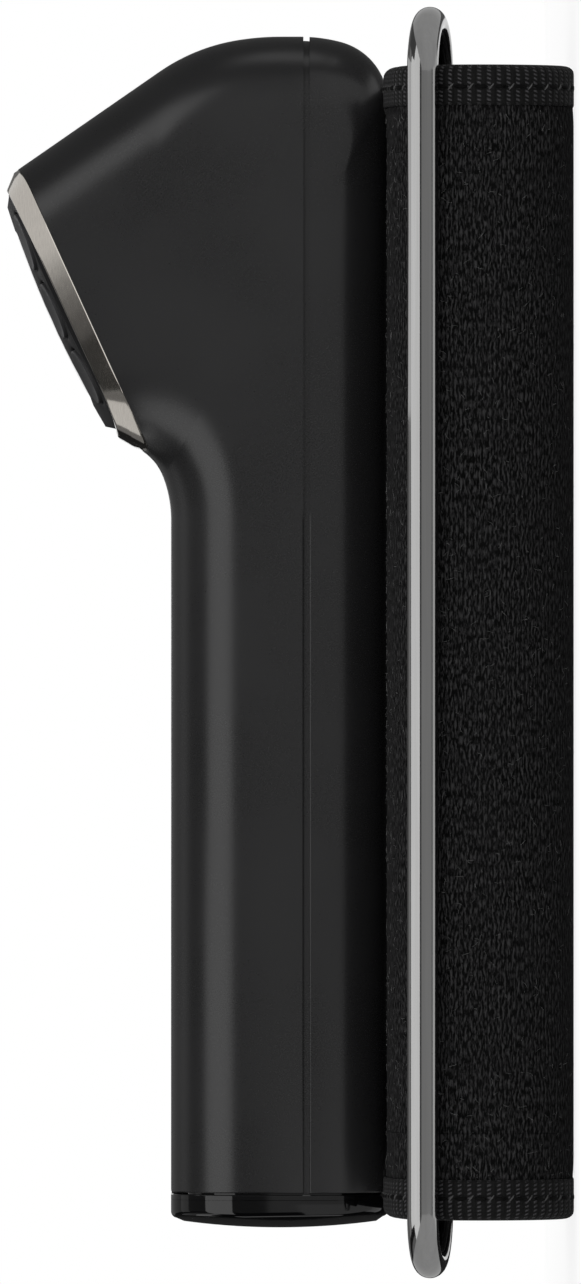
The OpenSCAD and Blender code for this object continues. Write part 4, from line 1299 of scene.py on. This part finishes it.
def ground():
    """A matt floor that looks white, and that reflections don't show"""
    look = Look("floor")
    speck = look.noise(40)
    look.set(
        Base_Color=look.mix(speck, rgb(0.86), rgb(0.89)),
        Roughness=look.remap(speck, 0.3, 0.7, 0.75, 0.85),
        Specular_IOR_Level=0.2,
    )
    glow = look.node("ShaderNodeEmission", {"Color": rgb(1), "Strength": 1.0}).outputs[0]
    share = look.times(look.seen(), 0.85)
    look.show(look.node("ShaderNodeMixShader", {0: share, 1: look.shader.outputs[0], 2: glow}))
    ends = (-0.32, 0.32)
    stage_mesh("ground", [[(x, y, 0) for x in ends] for y in ends], "floor").visible_glossy = False


def card(name, rows, strength, **more):
    """A studio card that glows evenly, and that shows in reflections and nowhere else"""
    look = Look(name)
    look.show(look.node("ShaderNodeEmission", {"Color": rgb(1), "Strength": strength}))
    obj = stage_mesh(name, rows, name, **more)
    for kind in ("camera", "diffuse", "shadow", "transmission", "volume_scatter"):
        setattr(obj, "visible_" + kind, False)


STUDIO_Z = 0.035


def around(azimuth, distance, y=0.0):
    """A place round the object: azimuth 0 is towards the camera and 90 is straight up"""
    return Vector((distance * cos(azimuth), y, STUDIO_Z + distance * sin(azimuth)))


def arc_card(name, low, high, distance, y_low, y_high, strength, steps=12):
    """A card bent round the object, from one azimuth to another"""
    bends = [low + (high - low) * k / steps for k in range(steps + 1)]
    card(name, [[around(a, distance, y) for y in (y_low, y_high)] for a in bends], strength)


def tent(name, rises, opening, radius, strength):
    """The dim cloth round the set, with an opening behind the object, where the white background shows"""
    bends = range(0, 361, 15)

    def is_open(k, j):
        return 165 <= bends[k] < 240 and opening[0] <= rises[j] < opening[1]

    rows = [[around(a, radius * cos(e), radius * sin(e)) for e in rises] for a in bends]
    card(name, rows, strength, is_open=is_open)


def flat_card(name, low, high, strength):
    """A flat card along the handle, between two opposite corners"""
    (x0, y0, z0), (x1, y1, z1) = low, high
    card(name, [[(x0, y, z0), (x1, y, z1)] for y in (y0, y1)], strength)


ground()
tent("tent", (-20, -3, 10, 20, 30, 40, 50, 60, 70, 80), (-20, 10), 1.2, 0.12)
tent("tent_low", (-80, -65, -50, -35, -20), (0, 0), 1.2, 0.02)
arc_card("low_back", 165, 240, 1.15, -0.42, -0.05, 0.02)
arc_card("high_face", 98, 118, 1.1, -0.9, 0.9, 0.4)
arc_card("back_face", 118, 165, 1.12, -0.45, 0.9, 0.2)
arc_card("soft_face", 19, 63, 0.8, -0.9, 0.9, 1.5)
arc_card("low_face", -118, -76, 0.9, -0.9, 0.9, 0.85)
flat_card("front_face", (0.22, -0.125, -0.45), (0.22, 0.35, 0.045), 0.42)
flat_card("strip_face", (0.054, -0.1, 0.1), (0.105, 0.1, 0.1), 1.5)
# Strips over the bezel, brighter towards the head: left, right, start and end in millimetres, and strength
STRIPES_Z = 0.12
BEZEL_STRIPES = [
    (46, 74, -38, 13.6, 0.06),
    (46, 70, 13.6, 18.5, 0.16),
    (46, 68, 18.5, 22, 0.24),
    (46, 66, 22, 25.5, 0.36),
    (46, 64, 25.5, 28, 0.6),
    (46, 64, 28, 30, 0.8),
    (-70, 64, 30, 92, 1.0),
]
for k, (left, right, start, end, strength) in enumerate(BEZEL_STRIPES):
    low, high = (left * MM, start * MM, STRIPES_Z), (right * MM, end * MM, STRIPES_Z)
    flat_card(f"bezel_face_{k}", low, high, strength)
for name, y in (("ring_low", -0.089), ("ring_high", 0.089)):
    card(name, [[(x, y, z) for x in (0.03, 0.4)] for z in (-0.15, 0.034)], 0.6)
arc_card("corner_face", 60, 147, 0.55, -1.25, -0.66, 1.0)
arc_card("corner_edge", 60, 147, 0.55, -0.66, -0.4, 0.25)


def lamp(name, place, size, watts):
    """A square lamp that shines at the object, and that reflections don't show"""
    light = bpy.data.lights.new(name, "AREA")
    light.shape = "RECTANGLE"
    light.size = light.size_y = size
    light.energy = watts
    obj = bpy.data.objects.new(name, light)
    obj.location = place
    obj.rotation_mode = "QUATERNION"
    obj.rotation_quaternion = (Vector(place) - LAMP_AIM).to_track_quat("Z", "Y")
    obj.visible_glossy = False
    bpy.context.scene.collection.objects.link(obj)


LAMP_AIM = Vector((0, 0, 0.03))
lamp("key", (0.87, 0.15, 0.25), 0.6, 4.9)
lamp("top", (-0.3, 0.2, 0.9), 0.9, 3.8)
lamp("back", (-0.8, -0.1, 0.35), 0.7, 4.0)

# The world is white where it is seen, and dimmer as a light
world = bpy.data.worlds.new("studio")
bpy.context.scene.world = world
sky = Nodes(world)
back = sky.tree.nodes["Background"].inputs
sky.put(back["Color"], rgb(1))
sky.put(back["Strength"], sky.remap(sky.seen(), 0.0, 1.0, 0.3, 1.0))

# A long lens, square to the side. HALF_FIELD is the tangent of half the angle over the picture's height
CAMERA_AT, HALF_FIELD = (3.1635, 0.000065, 0.036525), 0.0265
camera_data = bpy.data.cameras.new("camera")
camera_data.sensor_width = 36
camera_data.lens = camera_data.sensor_width / 2 / HALF_FIELD
camera_data.clip_start, camera_data.clip_end = 0.1, 20
camera = bpy.data.objects.new("camera", camera_data)
camera.matrix_world = Matrix.Translation(CAMERA_AT) @ Matrix.Rotation(math.pi / 2, 4, "Y")
bpy.context.scene.collection.objects.link(camera)
bpy.context.scene.camera = camera
bpy.context.scene.view_settings.view_transform = "Standard"
